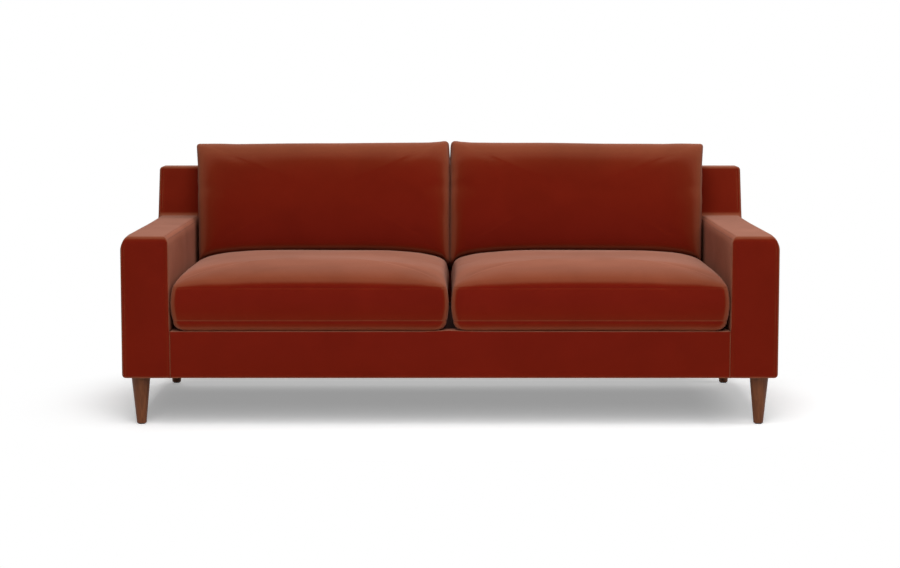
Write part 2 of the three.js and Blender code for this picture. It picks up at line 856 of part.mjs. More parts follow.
function legPieces(end, side) {
  const place = legPlaces[end];
  return [
    piece(`leg_glide_${end}_${side}`, glide(place), nylon),
    piece(`leg_${end}_${side}`, leg(place), walnut),
    piece(`leg_plate_${end}_${side}`, legPlate(place), steel),
    piece(`leg_block_${end}_${side}`, legBlock(place), hardwood),
  ];
}

// The seat cushion lies on the deck. The back cushion stands on the seat cushion, against the inside back.
function cushionGroups(side) {
  const seat = new THREE.Group();
  const seatSize = [seatWidth, seatLength];
  const seatMiddle = seatCushion.gapToMiddle + seatWidth / 2;
  seat.position.set(seatMiddle, seatCushion.frontSetback + seatLength / 2, deckHeight + clear);
  seat.add(
    piece(`seat_cushion_cover_${side}`, cushionCover(seatCushion, seatSize, 1), velvet),
    piece(`seat_cushion_core_${side}`, cushionCore(seatCushion, seatSize), foam),
  );
  const back = new THREE.Group();
  const backSize = [backWidth, backCushion.length];
  const raise = standHeight + backCushion.length / 2;
  back.position.set(
    backCushion.gapToMiddle + backWidth / 2,
    raise * Math.sin(insideRake) - backFaceOffset * Math.cos(insideRake),
    raise * Math.cos(insideRake) + backFaceOffset * Math.sin(insideRake),
  );
  back.rotation.x = Math.PI / 2 - insideRake;
  back.add(
    piece(`back_cushion_cover_${side}`, cushionCover(backCushion, backSize, -1), velvet),
    piece(`back_cushion_fill_${side}`, cushionCore(backCushion, backSize), fibre),
  );
  return [seat, back];
}

for (const [side, mirror] of [
  ["left", -1],
  ["right", 1],
]) {
  const half = new THREE.Group();
  half.scale.x = mirror;
  half.add(...armPieces(side), ...legPieces("front", side), ...legPieces("rear", side));
  half.add(...cushionGroups(side));
  sofa.add(half);
}

const allLegPlaces = Object.values(legPlaces).flatMap(([x, y]) => [
  [x, y],
  [-x, y],
]);
sofa.add(piece("dust_cover", dustCover(allLegPlaces), lining));

sofa.position.y = -overallDepth / 2;

export default sofa;
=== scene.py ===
# A two-seat velvet sofa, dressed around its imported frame. Sizes are in metres, in the frame's axes: X to
# the right as seen from the front, Y from front to back, Z up, the origin on the floor under its middle.

import json
import math

import bpy
import numpy as np
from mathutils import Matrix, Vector, geometry, noise
from mathutils.bvhtree import BVHTree
from mathutils.kdtree import KDTree


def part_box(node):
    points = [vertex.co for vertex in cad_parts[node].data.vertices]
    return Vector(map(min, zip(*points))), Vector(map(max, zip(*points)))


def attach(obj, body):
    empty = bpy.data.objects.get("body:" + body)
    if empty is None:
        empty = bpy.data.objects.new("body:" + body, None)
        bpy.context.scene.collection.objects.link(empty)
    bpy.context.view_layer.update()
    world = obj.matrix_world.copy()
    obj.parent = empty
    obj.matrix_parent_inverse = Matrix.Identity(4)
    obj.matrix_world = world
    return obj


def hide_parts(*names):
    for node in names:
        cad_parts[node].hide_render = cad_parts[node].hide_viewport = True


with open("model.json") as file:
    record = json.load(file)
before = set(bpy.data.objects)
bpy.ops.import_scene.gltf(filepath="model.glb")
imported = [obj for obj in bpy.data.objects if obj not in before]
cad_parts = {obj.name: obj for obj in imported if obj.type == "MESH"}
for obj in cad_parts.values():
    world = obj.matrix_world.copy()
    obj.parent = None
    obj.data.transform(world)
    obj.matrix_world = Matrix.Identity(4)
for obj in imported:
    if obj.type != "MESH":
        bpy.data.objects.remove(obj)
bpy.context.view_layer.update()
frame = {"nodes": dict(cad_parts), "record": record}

# Camera, as fitted to the photo: it stands in front of the sofa and looks a little down
CAMERA_PLACE = (0.0, -6.6, 1.1849)
CAMERA_PITCH = math.radians(6.6935)
CAMERA_LENS_MM = 76.04
CAMERA_SENSOR_MM = 36

# The frame's own sizes
ARM_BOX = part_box("arm_cover_right")
SEAT_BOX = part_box("seat_cushion_cover_right")
BACK_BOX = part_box("back_cushion_cover_right")
DECK_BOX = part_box("deck_cover")
DUST_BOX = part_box("dust_cover")
RAIL_REACH, RAIL_DEPTH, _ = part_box("front_rail_cover")[1]
INSIDE_BACK_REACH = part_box("inside_back_cover")[1].x
PANEL_REACH, _, PANEL_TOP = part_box("outside_back_cover")[1]
INNER_FACE, FRONT, BASE_BOTTOM = ARM_BOX[0]
OUTER_FACE, _, BACK_TOP = ARM_BOX[1]
DECK_TOP = DECK_BOX[1].z

# The side's outline, as in the frame's source; the sweep is tighter, as the photo shows the velvet
ARM_TOP = 0.622
ARM_TOP_LENGTH = 0.852
INSIDE_RAKE = math.radians(17.2)
OUTSIDE_RAKE = math.radians(8)
ARM_SWEEP = 0.02
BACK_TOP_ROUND = 0.013
BACK_TOP_DROP = 0.0033
FOOT_ROUND = 0.008

# Velvet: its wall, how it turns in at a seam, and how far padding stands proud between seams
VELVET_WALL = 0.0022
TURN_IN = 0.012
PUFF_REACH = 0.03
SEAM_DEPTH = 0.001

# Steps along an outline, across a cap and round an edge
ALONG_STEP = 0.012
CAP_STEP = 0.02
ARC_STEPS = 8
EDGE_ANGLES = [math.radians(a) for a in (0, 15, 28, 38, 45, 52, 62, 75, 90)]

BACKWARDS, UPWARDS, DOWNWARDS = Vector((0, 1, 0)), Vector((0, 0, 1)), Vector((0, 0, -1))


def smoothstep(x, low, high):
    t = np.clip((np.asarray(x, float) - low) / (high - low), 0, 1)
    return t * t * (3 - 2 * t)


def near_edge(distance, reach):
    """Rises from 0 at an edge towards 1 away from it."""
    return 1 - np.exp(-distance / reach)


# Places on the raked back


def inside_back_at(z):
    return FRONT + ARM_TOP_LENGTH + (z - ARM_TOP) * math.tan(INSIDE_RAKE)


def outside_back_at(z):
    spare = BACK_TOP_ROUND * (math.tan(OUTSIDE_RAKE) + 1 / math.cos(OUTSIDE_RAKE) - 1)
    return -FRONT + spare + (z - BACK_TOP) * math.tan(OUTSIDE_RAKE)


# Meshes


def new_object(name, points, faces, material):
    """A mesh object from points and faces, in one of the materials."""
    mesh = bpy.data.meshes.new(name)
    mesh.from_pydata([tuple(p) for p in points], [], faces)
    mesh.update()
    mesh.materials.append(MATERIALS[material])
    obj = bpy.data.objects.new(name, mesh)
    bpy.context.scene.collection.objects.link(obj)
    return obj


def vectors_of(mesh, what):
    values = np.empty(len(mesh.vertices) * 3)
    mesh.vertices.foreach_get(what, values)
    return values.reshape(-1, 3)


def points_of(obj):
    return vectors_of(obj.data, "co")


def normals_of(obj):
    obj.data.update()
    return vectors_of(obj.data, "normal")


def set_points(obj, points):
    obj.data.vertices.foreach_set("co", np.asarray(points, float).ravel())
    obj.data.update()


def modified(obj, kind, **settings):
    """Bakes a modifier into the object's mesh."""
    modifier = obj.modifiers.new(kind, kind)
    for key, value in settings.items():
        setattr(modifier, key, value)
    made = bpy.data.meshes.new_from_object(obj.evaluated_get(bpy.context.evaluated_depsgraph_get()))
    old = obj.data
    obj.modifiers.clear()
    obj.data = made
    made.name = old.name
    bpy.data.meshes.remove(old)


def thicken(obj, wall):
    """Gives an open cover its wall, inwards."""
    modified(obj, "SOLIDIFY", thickness=wall, offset=-1)


def face_towards(obj, way):
    """Turns the faces so that most look a given way."""
    if (normals_of(obj) @ np.array(way)).sum() < 0:
        obj.data.flip_normals()


def face_outwards(obj):
    """Turns the faces so that they look away from the middle of the piece."""
    points, normals = points_of(obj), normals_of(obj)
    away = points - (points.min(0) + points.max(0)) / 2
    if (away * normals).sum() < 0:
        obj.data.flip_normals()


def copied(obj, name):
    copy = obj.copy()
    copy.data = obj.data.copy()
    copy.name = name
    bpy.context.scene.collection.objects.link(copy)
    return copy


def mirror(obj):
    """Turns a piece of the right side into one of the left."""
    set_points(obj, points_of(obj) * (-1, 1, 1))
    obj.data.flip_normals()
    return obj


def hand_over(obj, replaced=(), body="root"):
    obj.data.polygons.foreach_set("use_smooth", [True] * len(obj.data.polygons))
    obj.data.update()
    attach(obj, body)
    if replaced:
        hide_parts(*replaced)


# Outlines, belts and caps


def arc(centre, start, angle):
    """Points on an arc about a centre, from its start through an angle."""
    arm = start - centre
    points = []
    for j in range(ARC_STEPS + 1):
        c, s = math.cos(angle * j / ARC_STEPS), math.sin(angle * j / ARC_STEPS)
        points.append(centre + Vector((arm.x * c - arm.y * s, arm.x * s + arm.y * c)))
    return points


def outline(corners, insets, spare=0.0005):
    """Points round an outline through (across, up, round) corners, with side i drawn in by insets[i].

    Every inset gives the same count, so rings join. Returns the points and, for each, the two sides that
    it lies between and the share of the second."""
    count = len(corners)
    base = [Vector(c[:2]) for c in corners]
    sides = [(base[(i + 1) % count] - base[i]).normalized() for i in range(count)]
    inward = [Vector((-s.y, s.x)) for s in sides]
    arcs = []
    for k, (*_, round_) in enumerate(corners):
        before = (k - 1) % count
        a, b = (base[k] + inward[i] * insets[i] for i in (before, k))
        far_a, far_b = sides[before] * 10, sides[k] * 10
        meet = geometry.intersect_line_line_2d(a - far_a, a + far_a, b - far_b, b + far_b)
        turn = sides[before].angle_signed(sides[k])
        if turn < 0:
            round_ = max(round_ - min(insets[before], insets[k]), spare)
        else:
            round_ = -round_ - max(insets[before], insets[k])
        start = meet - sides[before] * (abs(round_) * math.tan(abs(turn) / 2))
        arcs.append(arc(start + inward[before] * round_, start, math.copysign(turn, round_)))
    points, places = [], []
    for k, after in zip(range(count), [*range(1, count), 0]):
        points += arcs[k]
        places += [((k - 1) % count, k, j / ARC_STEPS) for j in range(ARC_STEPS + 1)]
        steps = max(2, round((base[after] - base[k]).length / ALONG_STEP))
        points += [arcs[k][-1].lerp(arcs[after][0], j / steps) for j in range(1, steps)]
        places += [(k, k, 0)] * (steps - 1)
    return np.array([tuple(p) for p in points]), places


def by_place(values, places):
    """A value for each outline point from one value for each side."""
    return np.array([values[a] + (values[b] - values[a]) * s for a, b, s in places])


def belt(corners, width, shares, inner, outer):
    """A band round an outline, from X 0 to a width, with its two edges rounded.

    Inner and outer each list the sides' rounds, square to the outline and across it. Returns rings of
    points, [station][point] as (x, y, z)."""

    def edge(rounds, across):
        for angle in EDGE_ANGLES:
            ring, places = outline(corners, [r * (1 - math.sin(angle)) for r in rounds])
            yield by_place(across, places) * (1 - math.cos(angle)), ring

    flat, places = outline(corners, [0] * len(corners))
    low, high = by_place(inner[1], places), width - by_place(outer[1], places)
    rings = list(edge(*inner))
    rings += [(low + (high - low) * share, flat) for share in shares]
    rings += [(width - x, ring) for x, ring in reversed(list(edge(*outer)))]
    return np.array([np.column_stack(ring) for ring in rings])


def ring_faces(stations, count, closed=True, keep=None):
    """Faces between neighbouring rings, where keep(station, point) allows them."""
    faces = []
    for i in range(stations - 1):
        for k in range(count if closed else count - 1):
            if keep is None or keep(i, k):
                n = (k + 1) % count
                faces.append((i * count + k, i * count + n, (i + 1) * count + n, (i + 1) * count + k))
    return faces


def inside(point, polygon):
    """Whether a point lies inside a polygon."""
    x, y = point
    odd = False
    for (ax, ay), (bx, by) in zip(polygon, np.roll(polygon, -1, 0)):
        if (ay > y) != (by > y) and x < (bx - ax) * (y - ay) / (by - ay) + ax:
            odd = not odd
    return odd


def distance_to_loop(points, loop):
    """How far each point is from a closed loop of points."""
    a, b = np.asarray(loop)[None], np.roll(loop, -1, 0)[None]
    p = np.asarray(points)[:, None]
    along = np.clip(((p - a) * (b - a)).sum(2) / np.maximum(((b - a) ** 2).sum(2), 1e-12), 0, 1)
    near = a + (b - a) * along[..., None]
    return np.sqrt(((p - near) ** 2).sum(2)).min(1)


def cap(polygon, holes=(), step=CAP_STEP):
    """Points and triangles that fill a polygon, with a grid of points inside it."""
    loops = [np.asarray(loop) for loop in (polygon, *holes)]
    edge = np.concatenate(loops)
    edges, base = [], 0
    for loop in loops:
        edges += [(base + i, base + (i + 1) % len(loop)) for i in range(len(loop))]
        base += len(loop)

    def in_hole(point):
        return any(inside(point, hole) for hole in loops[1:])

    across, up = (np.arange(a + step / 2, b, step) for a, b in zip(edge.min(0), edge.max(0)))
    grid = np.array([(a, b) for a in across for b in up if inside((a, b), loops[0]) and not in_hole((a, b))])
    for loop in loops:
        grid = grid[distance_to_loop(grid, loop) > step * 0.45]
    flat = [Vector(p) for p in np.concatenate([edge, grid])]
    points, _, faces, *_ = geometry.delaunay_2d_cdt(flat, edges, [], 1, 1e-7)
    faces = [tuple(f) for f in faces if not in_hole(np.mean([points[i] for i in f], 0))]
    return np.array([tuple(p) for p in points]), faces


def circle(middle, radius, count):
    """Points round a circle, as seen from above."""
    turns = [2 * math.pi * j / count for j in range(count)]
    return [(middle.x + radius * math.cos(t), middle.y + radius * math.sin(t)) for t in turns]


def reversed_faces(faces):
    return [tuple(reversed(face)) for face in faces]


def joined(parts):
    """Several (points, faces) as one."""
    points, faces, base = [], [], 0
    for p, f in parts:
        points.append(p)
        faces += [tuple(i + base for i in face) for face in f]
        base += len(p)
    return np.concatenate(points), faces


# Seams and stitches


def spaced(line, step):
    """A line of points cut into even steps."""
    line = np.asarray(line, float)
    lengths = np.concatenate([[0], np.cumsum(np.linalg.norm(np.diff(line, axis=0), axis=1))])
    at = np.linspace(0, lengths[-1], max(2, round(lengths[-1] / step) + 1))
    return np.column_stack([np.interp(at, lengths, line[:, k]) for k in range(3)])


def tree_of(points):
    """A tree that finds the nearest of some points."""
    tree = KDTree(len(points))
    for i, p in enumerate(points):
        tree.insert(p, i)
    tree.balance()
    return tree


def nearness(points, lines, step=0.002):
    """How far each point is from the nearest of some lines, and how far along it."""
    cut = [spaced(line, step) for line in lines]
    along = np.concatenate([np.arange(len(c)) * step for c in cut])
    tree = tree_of(np.concatenate(cut))
    found = [tree.find(p) for p in points]
    return np.array([f[2] for f in found]), along[[f[1] for f in found]]


def sew(obj, lines, depth=SEAM_DEPTH, width=0.0022, puff=0.0, gather=0.3, pitch=0.011):
    """Draws a piece in along its seams, lets it stand proud between them and gathers it a little."""
    away, along = nearness(points_of(obj), lines)
    groove = np.exp(-((away / width) ** 2))
    ripple = gather * np.sin(2 * np.pi * along / pitch) * np.exp(-away / (4 * width)) * (1 - groove)
    rise = puff * near_edge(away, PUFF_REACH) + depth * (ripple - groove)
    set_points(obj, points_of(obj) + normals_of(obj) * rise[:, None])


STITCH_LENGTH = 0.0034
STITCH_GAP = 0.0014
STITCH_RADIUS = 0.00045
STITCH_SINK = 0.0001
STITCH_SIDES, STITCH_RINGS = 6, 5


def stitch(start, end, normal):
    """One short stitch of thread between two places, a little bowed, as points and faces."""
    ahead = (end - start).normalized()
    across = ahead.cross(normal).normalized()
    up = across.cross(ahead).normalized()
    points = []
    for t in np.linspace(-1, 1, STITCH_RINGS):
        thick = STITCH_RADIUS * math.sqrt(max(1 - abs(t) ** 3, 0.05))
        rise = STITCH_RADIUS * (1 - t * t) * 1.2 - STITCH_SINK
        centre = (start + end) / 2 + ahead * (t * STITCH_LENGTH / 2) + up * rise
        for j in range(STITCH_SIDES):
            turn = 2 * math.pi * j / STITCH_SIDES
            points.append(tuple(centre + across * (thick * math.cos(turn)) + up * (thick * math.sin(turn))))
    faces = ring_faces(STITCH_RINGS, STITCH_SIDES)
    last = (STITCH_RINGS - 1) * STITCH_SIDES
    faces += [tuple(reversed(range(STITCH_SIDES))), tuple(range(last, last + STITCH_SIDES))]
    return np.array(points), faces


def stitches(name, lines, normals):
    """Rows of stitches on the given lines, one piece for all of them."""
    parts = []
    for line, normal in zip(lines, normals):
        places = [Vector(p) for p in spaced(line, (STITCH_LENGTH + STITCH_GAP) / 4)]
        for k in range(2, len(places) - 2, 4):
            parts.append(stitch(places[k - 1], places[k + 1], normal))
    return new_object(name, *joined(parts), "thread")


# Materials

WHITE = (1.0, 1.0, 1.0)


def scaled(colour, share):
    return tuple(c * share for c in colour)


class Nodes:
    """A short way to write the node tree of a material or a world."""

    def __init__(self, owner):
        owner.use_nodes = True
        self.tree = owner.node_tree
        self.tree.nodes.clear()

    def feed(self, socket, value):
        """Gives a socket a value, or links another node's socket to it."""
        if isinstance(value, bpy.types.NodeSocket):
            self.tree.links.new(value, socket)
        else:
            socket.default_value = value

    def add(self, kind, inputs=None, **settings):
        node = self.tree.nodes.new("ShaderNode" + kind)
        for key, value in settings.items():
            setattr(node, key, value)
        for key, value in (inputs or {}).items():
            self.feed(node.inputs[key], value)
        return node

    def first(self, kind, inputs=None, **settings):
        """A new node's first output."""
        return self.add(kind, inputs, **settings).outputs[0]

    def background_rays(self):
        """A socket that is 1 for rays that show the background: the camera's, glossy and transmitted ones."""
        path = self.add("LightPath").outputs
        rays = path["Is Camera Ray"]
        for name in ("Is Glossy Ray", "Is Transmission Ray"):
            rays = self.first("Math", {0: rays, 1: path[name]}, operation="MAXIMUM")
        return rays


class Shader(Nodes):
    """A material with one principled surface."""

    def __init__(self, name):
        self.material = bpy.data.materials.new(name)
        super().__init__(self.material)
        self.surface = self.add("BsdfPrincipled")
        self.add("OutputMaterial", {"Surface": self.surface.outputs["BSDF"]})
        self.where = self.add("TexCoord").outputs["Object"]

    def set(self, **values):
        """Sets the surface's inputs, named with _ for a space."""
        for key, value in values.items():
            self.feed(self.surface.inputs[key.replace("_", " ")], value)

    def stretched(self, scale):
        return self.first("Mapping", {"Vector": self.where, "Scale": scale})

    def noise(self, scale=1.0, detail=2.0, roughness=0.5, distortion=0.0, vector=None):
        inputs = {"Scale": scale, "Detail": detail, "Roughness": roughness, "Distortion": distortion}
        return self.add("TexNoise", {"Vector": vector or self.where, **inputs}).outputs["Fac"]

    def bands(self, direction, scale, distortion=0.0):
        inputs = {"Vector": self.where, "Scale": scale, "Distortion": distortion}
        return self.add("TexWave", inputs, wave_type="BANDS", bands_direction=direction).outputs["Fac"]

    def ramp(self, value, stops):
        node = self.add("ValToRGB", {"Fac": value})
        ramp = node.color_ramp
        while len(ramp.elements) < len(stops):
            ramp.elements.new(0.5)
        for element, (place, colour) in zip(ramp.elements, stops):
            element.position = place
            element.color = (*colour, 1)
        return node.outputs["Color"]

    def mix(self, first, second, amount, mode="MIX"):
        return self.add("Mix", {0: amount, 6: first, 7: second}, data_type="RGBA", blend_type=mode).outputs[2]

    def darkened(self, tone, mask, low, shade, high, amount=1.0):
        """A tone that takes a shade where its mask is low, and none where it is high."""
        return self.mix(tone, self.ramp(mask, [(low, shade), (high, WHITE)]), amount, "MULTIPLY")

    def between(self, value, low, high):
        return self.first("MapRange", {"Value": value, "To Min": low, "To Max": high})

    def bump(self, height, strength, distance, **under):
        """Raises the surface by a height; under may be Normal, another bump's."""
        normal = self.first("Bump", {"Strength": strength, "Distance": distance, "Height": height, **under})
        self.set(Normal=normal)
        return normal


# The velvet's colour as its pile turns from the viewer: its own deep rust where faced, then a painted sheen,
# lighter and pinkish brown, as it turns edge-on. Listed as how far it is turned, from 0 to 1, and the colour
VELVET_PAINTED_SHEEN = [
    (0.0, (0.148, 0.0101, 0.0049)),
    (0.03, (0.152, 0.0112, 0.0045)),
    (0.08, (0.157, 0.0185, 0.0068)),
    (0.13, (0.1845, 0.0346, 0.0160)),
    (0.22, (0.206, 0.0486, 0.0228)),
    (0.35, (0.2245, 0.0565, 0.0275)),
    (0.5, (0.249, 0.0740, 0.0405)),
    (0.68, (0.281, 0.1000, 0.0620)),
    (0.85, (0.355, 0.1310, 0.0830)),
    (1.0, (0.41, 0.2120, 0.1610)),
]
VELVET_LIFT = 1.16
SHEEN_TINT = (1.0, 0.6, 0.4, 1.0)


def make_velvet():
    """Cotton velvet: deep rust where it is faced, with a painted sheen, a pale pinkish brown, where its pile is
    seen from the side.
    """
    s = Shader("velvet")
    turned = s.add("LayerWeight", {"Blend": 0.5}).outputs["Facing"]
    nap = s.noise(5.0, detail=3.0, roughness=0.55, distortion=0.6)
    pile = s.noise(1400.0)
    # Painted sheen: the base colour lightens towards pinkish brown as the surface turns from the viewer
    tone = s.ramp(turned, [(place, scaled(colour, VELVET_LIFT)) for place, colour in VELVET_PAINTED_SHEEN])
    tone = s.darkened(tone, nap, 0.3, scaled(WHITE, 0.88), 0.7)
    tone = s.darkened(tone, pile, 0.25, scaled(WHITE, 0.72), 0.75, amount=0.6)
    s.set(Base_Color=tone, Roughness=s.between(nap, 0.82, 0.94), Specular_IOR_Level=0.0)
    s.bump(pile, 0.25, 0.0004, Normal=s.bump(s.noise(60.0), 0.05, 0.002))
    return s.material


def make_thread():
    s = Shader("thread")
    twist = s.bands("DIAGONAL", 900)
    tone = s.ramp(twist, [(0.0, (0.05, 0.006, 0.004)), (1.0, (0.11, 0.012, 0.007))])
    s.set(Base_Color=tone, Roughness=0.6, Sheen_Weight=0.2, Sheen_Tint=SHEEN_TINT)
    s.bump(twist, 0.3, 0.0002)
    return s.material


def make_wood(name, dark, light, along, roughness, grain=38.0):
    """Wood with its grain along one axis."""
    s = Shader(name)
    figure_scale, pore_scale = ([scale] * 3 for scale in (grain, 420.0))
    figure_scale[along], pore_scale[along] = grain / 16, 14.0
    figure = s.noise(detail=5.0, roughness=0.6, vector=s.stretched(figure_scale), distortion=1.4)
    pores = s.noise(vector=s.stretched(pore_scale))
    middle = tuple((a + b) / 2 for a, b in zip(dark, light))
    tone = s.ramp(figure, [(0.28, dark), (0.5, middle), (0.72, light)])
    tone = s.darkened(tone, pores, 0.3, (0.55, 0.5, 0.46), 0.55, amount=0.5)
    gloss = s.between(pores, roughness + 0.12, roughness - 0.05)
    s.set(Base_Color=tone, Roughness=gloss, Specular_IOR_Level=0.2)
    s.bump(pores, 0.12, 0.0004)
    return s.material


def make_plywood():
    """Plywood, its layers showing where it is cut."""
    s = Shader("plywood")
    layers = s.bands("X", 110, distortion=0.4)
    face = s.noise(detail=4.0, vector=s.stretched((60.0, 4.0, 45.0)), distortion=0.8)
    veneer = s.ramp(face, [(0.3, (0.46, 0.31, 0.16)), (0.7, (0.62, 0.45, 0.26))])
    s.set(Base_Color=s.darkened(veneer, layers, 0.4, (0.7, 0.62, 0.5), 0.6, amount=0.35), Roughness=0.75)
    s.bump(face, 0.1, 0.0005)
    return s.material


def make_steel():
    """Drawn steel wire and plate."""
    s = Shader("steel")
    drawn = s.noise(detail=3.0, vector=s.stretched((900.0, 60.0, 900.0)))
    tone = s.ramp(drawn, [(0.3, (0.36, 0.37, 0.38)), (0.7, (0.52, 0.53, 0.54))])
    s.set(Base_Color=tone, Roughness=s.between(drawn, 0.28, 0.46), Metallic=1.0)
    s.bump(drawn, 0.08, 0.0002)
    return s.material


def make_foam():
    """Foam, its open cells as pits."""
    s = Shader("foam")
    colour = (0.78, 0.7, 0.44)
    cells = s.first("TexVoronoi", {"Vector": s.where, "Scale": 700.0}, feature="F1")
    # The colour darkens towards the middle of each cell, where the bump sinks it: painted shade in the pits
    s.set(Base_Color=s.ramp(cells, [(0.0, scaled(colour, 0.72)), (0.6, colour)]), Roughness=0.95)
    s.bump(cells, 0.5, 0.0008)
    return s.material


def make_cloth(name, colour, threads, contrast=0.5):
    """Plain woven cloth, from two crossed sets of bands."""
    s = Shader(name)
    weave = s.mix(s.bands("X", threads, distortion=0.3), s.bands("Y", threads, distortion=0.3), 0.5)
    s.set(Base_Color=s.ramp(weave, [(0.2, scaled(colour, 1 - contrast)), (0.8, colour)]), Roughness=0.9)
    s.bump(weave, 0.3, 0.0004)
    return s.material


def make_mottled(name, dark, light, pattern, bump, **surface):
    """A plain stuff, mottled between two tones by a noise pattern."""
    s = Shader(name)
    mottle = s.noise(**pattern)
    s.set(Base_Color=s.ramp(mottle, [(0.3, dark), (0.7, light)]), **surface)
    s.bump(mottle, *bump)
    return s.material


WOOL = {"scale": 180.0, "detail": 5.0, "roughness": 0.7, "distortion": 2.0}

MATERIALS = {
    "velvet": make_velvet(),
    "walnut": make_wood("walnut", (0.1, 0.03, 0.011), (0.205, 0.066, 0.023), along=2, roughness=0.45),
    "plywood": make_plywood(),
    "hardwood": make_wood(
        "hardwood", (0.36, 0.2, 0.09), (0.58, 0.37, 0.19), along=0, roughness=0.65, grain=22.0
    ),
    "steel": make_steel(),
    "foam": make_foam(),
    "fibre": make_mottled(
        "fibre", (0.72, 0.7, 0.66), (0.9, 0.88, 0.84), WOOL, (0.5, 0.001), Roughness=0.95, Sheen_Weight=0.3
    ),
    "decking": make_cloth("decking", (0.09, 0.022, 0.015), 300.0),
    "lining": make_cloth("lining", (0.012, 0.012, 0.013), 260.0, contrast=0.3),
    "webbing": make_cloth("webbing", (0.03, 0.027, 0.024), 120.0),
    "nylon": make_mottled(
        "nylon", scaled(WHITE, 0.02), scaled(WHITE, 0.035), {"scale": 300.0}, (0.1, 0.0002), Roughness=0.5
    ),
    "thread": make_thread(),
}


def dress_frame():
    """Gives every carried-over node the material of its slot."""
    slots = {row["node"]: row["material_slot"] for row in frame["record"]["subparts"]}
    for name, node in frame["nodes"].items():
        node.data.materials.clear()
        node.data.materials.append(MATERIALS[slots[name]])


# The arms

ARM_WIDTH = OUTER_FACE - INNER_FACE
ARM_SHARES = [0.008, 0.016, 0.024, 0.05, 0.12, 0.25, 0.4, 0.55, 0.7, 0.83, 0.91, 0.955, 0.976, 0.984, 0.992]
# The edges' rounds on each side of the outline (foot, rear, back top, raked front, arm top, front), square
# to it and across it
INNER_EDGE = ([0.005, 0.006, 0.008, 0.006, 0.032, 0.02], [0.005, 0.006, 0.008, 0.006, 0.019, 0.0035])
OUTER_EDGE = ([0.013, 0.01, 0.013, 0.012, 0.040, 0.009], [0.013, 0.01, 0.013, 0.011, 0.021, 0.009])
ARM_FRONT_ROUND = 0.018
ARM_PUFF = 0.0006
OUTER_BULGE, INNER_BULGE = 0.002, 0.0006
BULGE_REACH = 0.05
# In front the arm is a little slimmer than its frame, by this much at these heights, and behind it is wider
SLIM_IN_FRONT = ([0.2, 0.57], [0.0003, 0.0022])
WIDE_BEHIND = 0.0055
WIDE_FADE = (FRONT + 0.5, FRONT + 0.85)
# How far the inner face stands out towards the seat, in front
INNER_OUT = 0.0045
INNER_OUT_FADE = (FRONT + 0.3, FRONT + 0.7)
INNER_THIRD = 0.06
# How far the outer front corner of the arm's top is drawn in, and how far this reaches down, back and across
CORNER_IN = 0.0055
CORNER_DOWN = 0.045
CORNER_BACK = 0.1
CORNER_ACROSS = (ARM_WIDTH - 0.05, ARM_WIDTH - 0.01)
# The inner face laps this far over the deck and the raked back
FACE_LAP = 0.003
# Beside the rail, the inner front edge is this share of its size, so that the seam is a thin line
RAIL_EDGE_SHARE = 0.4
RAIL_EDGE_FADE = (DECK_TOP - 0.004, DECK_TOP + 0.02)
RAIL_EDGE_DEPTH = 0.03
FRONT_SEAM_INSET = 0.0105
FRONT_SEAM_DROP = 0.0125
FRONT_SEAM_ROUND = 0.009
FRONT_SEAM_FOOT = 0.004
# The seam beside the raked back lies this much further in on the outer side
EDGE_SEAM_SHIFT = 0.002
EDGE_SEAM_POINTS = 12
STITCH_ON_TOP = 0.0095
STITCH_ON_SIDE = 0.0115
STITCH_START = 0.022
# The stitches stop before the sweep, by this share of it
STITCH_STOP = 0.75
SETTLE_STEP = 0.01
SETTLE_REACH = 0.02
GROOVE_DEPTH = 0.0003
GROOVE_WIDTH = 0.0014
# The rear panel is let in by this much, up to this far from the arm's outer edge and over its own edges
PANEL_RECESS = 0.0036
PANEL_MARGIN = 0.012
PANEL_OVER = 0.001
ARM_TURN_UNDER = 0.03
ARM_FOOT_SPARE = 0.002
# Steps up the raked back and along the deck, where the inner face ends
FACE_RAKE_STEPS, FACE_DECK_STEPS = 18, 45
# The velvet is turned in behind this place and over this height
FLAP_BEHIND = FRONT + 0.36
FLAP_OVER = BASE_BOTTOM + 0.02
FOAM_INSET = 0.0032
FOAM_WALL = 0.0115
FOAM_END = 0.03
WELD_REACH = 2e-5


def arm_corners():
    top = BACK_TOP - BACK_TOP_DROP
    return [
        (FRONT, BASE_BOTTOM, FOOT_ROUND),
        (outside_back_at(BASE_BOTTOM), BASE_BOTTOM, FOOT_ROUND),
        (outside_back_at(top), top, BACK_TOP_ROUND),
        (inside_back_at(top), top, BACK_TOP_ROUND),
        (inside_back_at(ARM_TOP), ARM_TOP, ARM_SWEEP),
        (FRONT, ARM_TOP, ARM_FRONT_ROUND),
    ]


def on_inner_face(y, z):
    """Whether a place belongs to the arm's inner face, over the deck and in front of the raked back."""
    return DECK_TOP - FACE_LAP < z < ARM_TOP + ARM_SWEEP and y < inside_back_at(z) + FACE_LAP


def arm_shape(points):
    """The arm's broad shape: wider behind, slimmer in front, its outer front corner drawn in."""
    x, y, z = points.T
    x = x - INNER_OUT * (1 - smoothstep(x, 0, INNER_THIRD)) * (1 - smoothstep(y, *INNER_OUT_FADE))
    outer = smoothstep(points[:, 0], INNER_THIRD, ARM_WIDTH)
    x = x + outer * (WIDE_BEHIND * smoothstep(y, *WIDE_FADE) - np.interp(z, *SLIM_IN_FRONT))
    corner = smoothstep(z, ARM_TOP - CORNER_DOWN, ARM_TOP) * (1 - smoothstep(y, FRONT, FRONT + CORNER_BACK))
    return np.column_stack([x - CORNER_IN * corner * smoothstep(x, *CORNER_ACROSS), y, z])


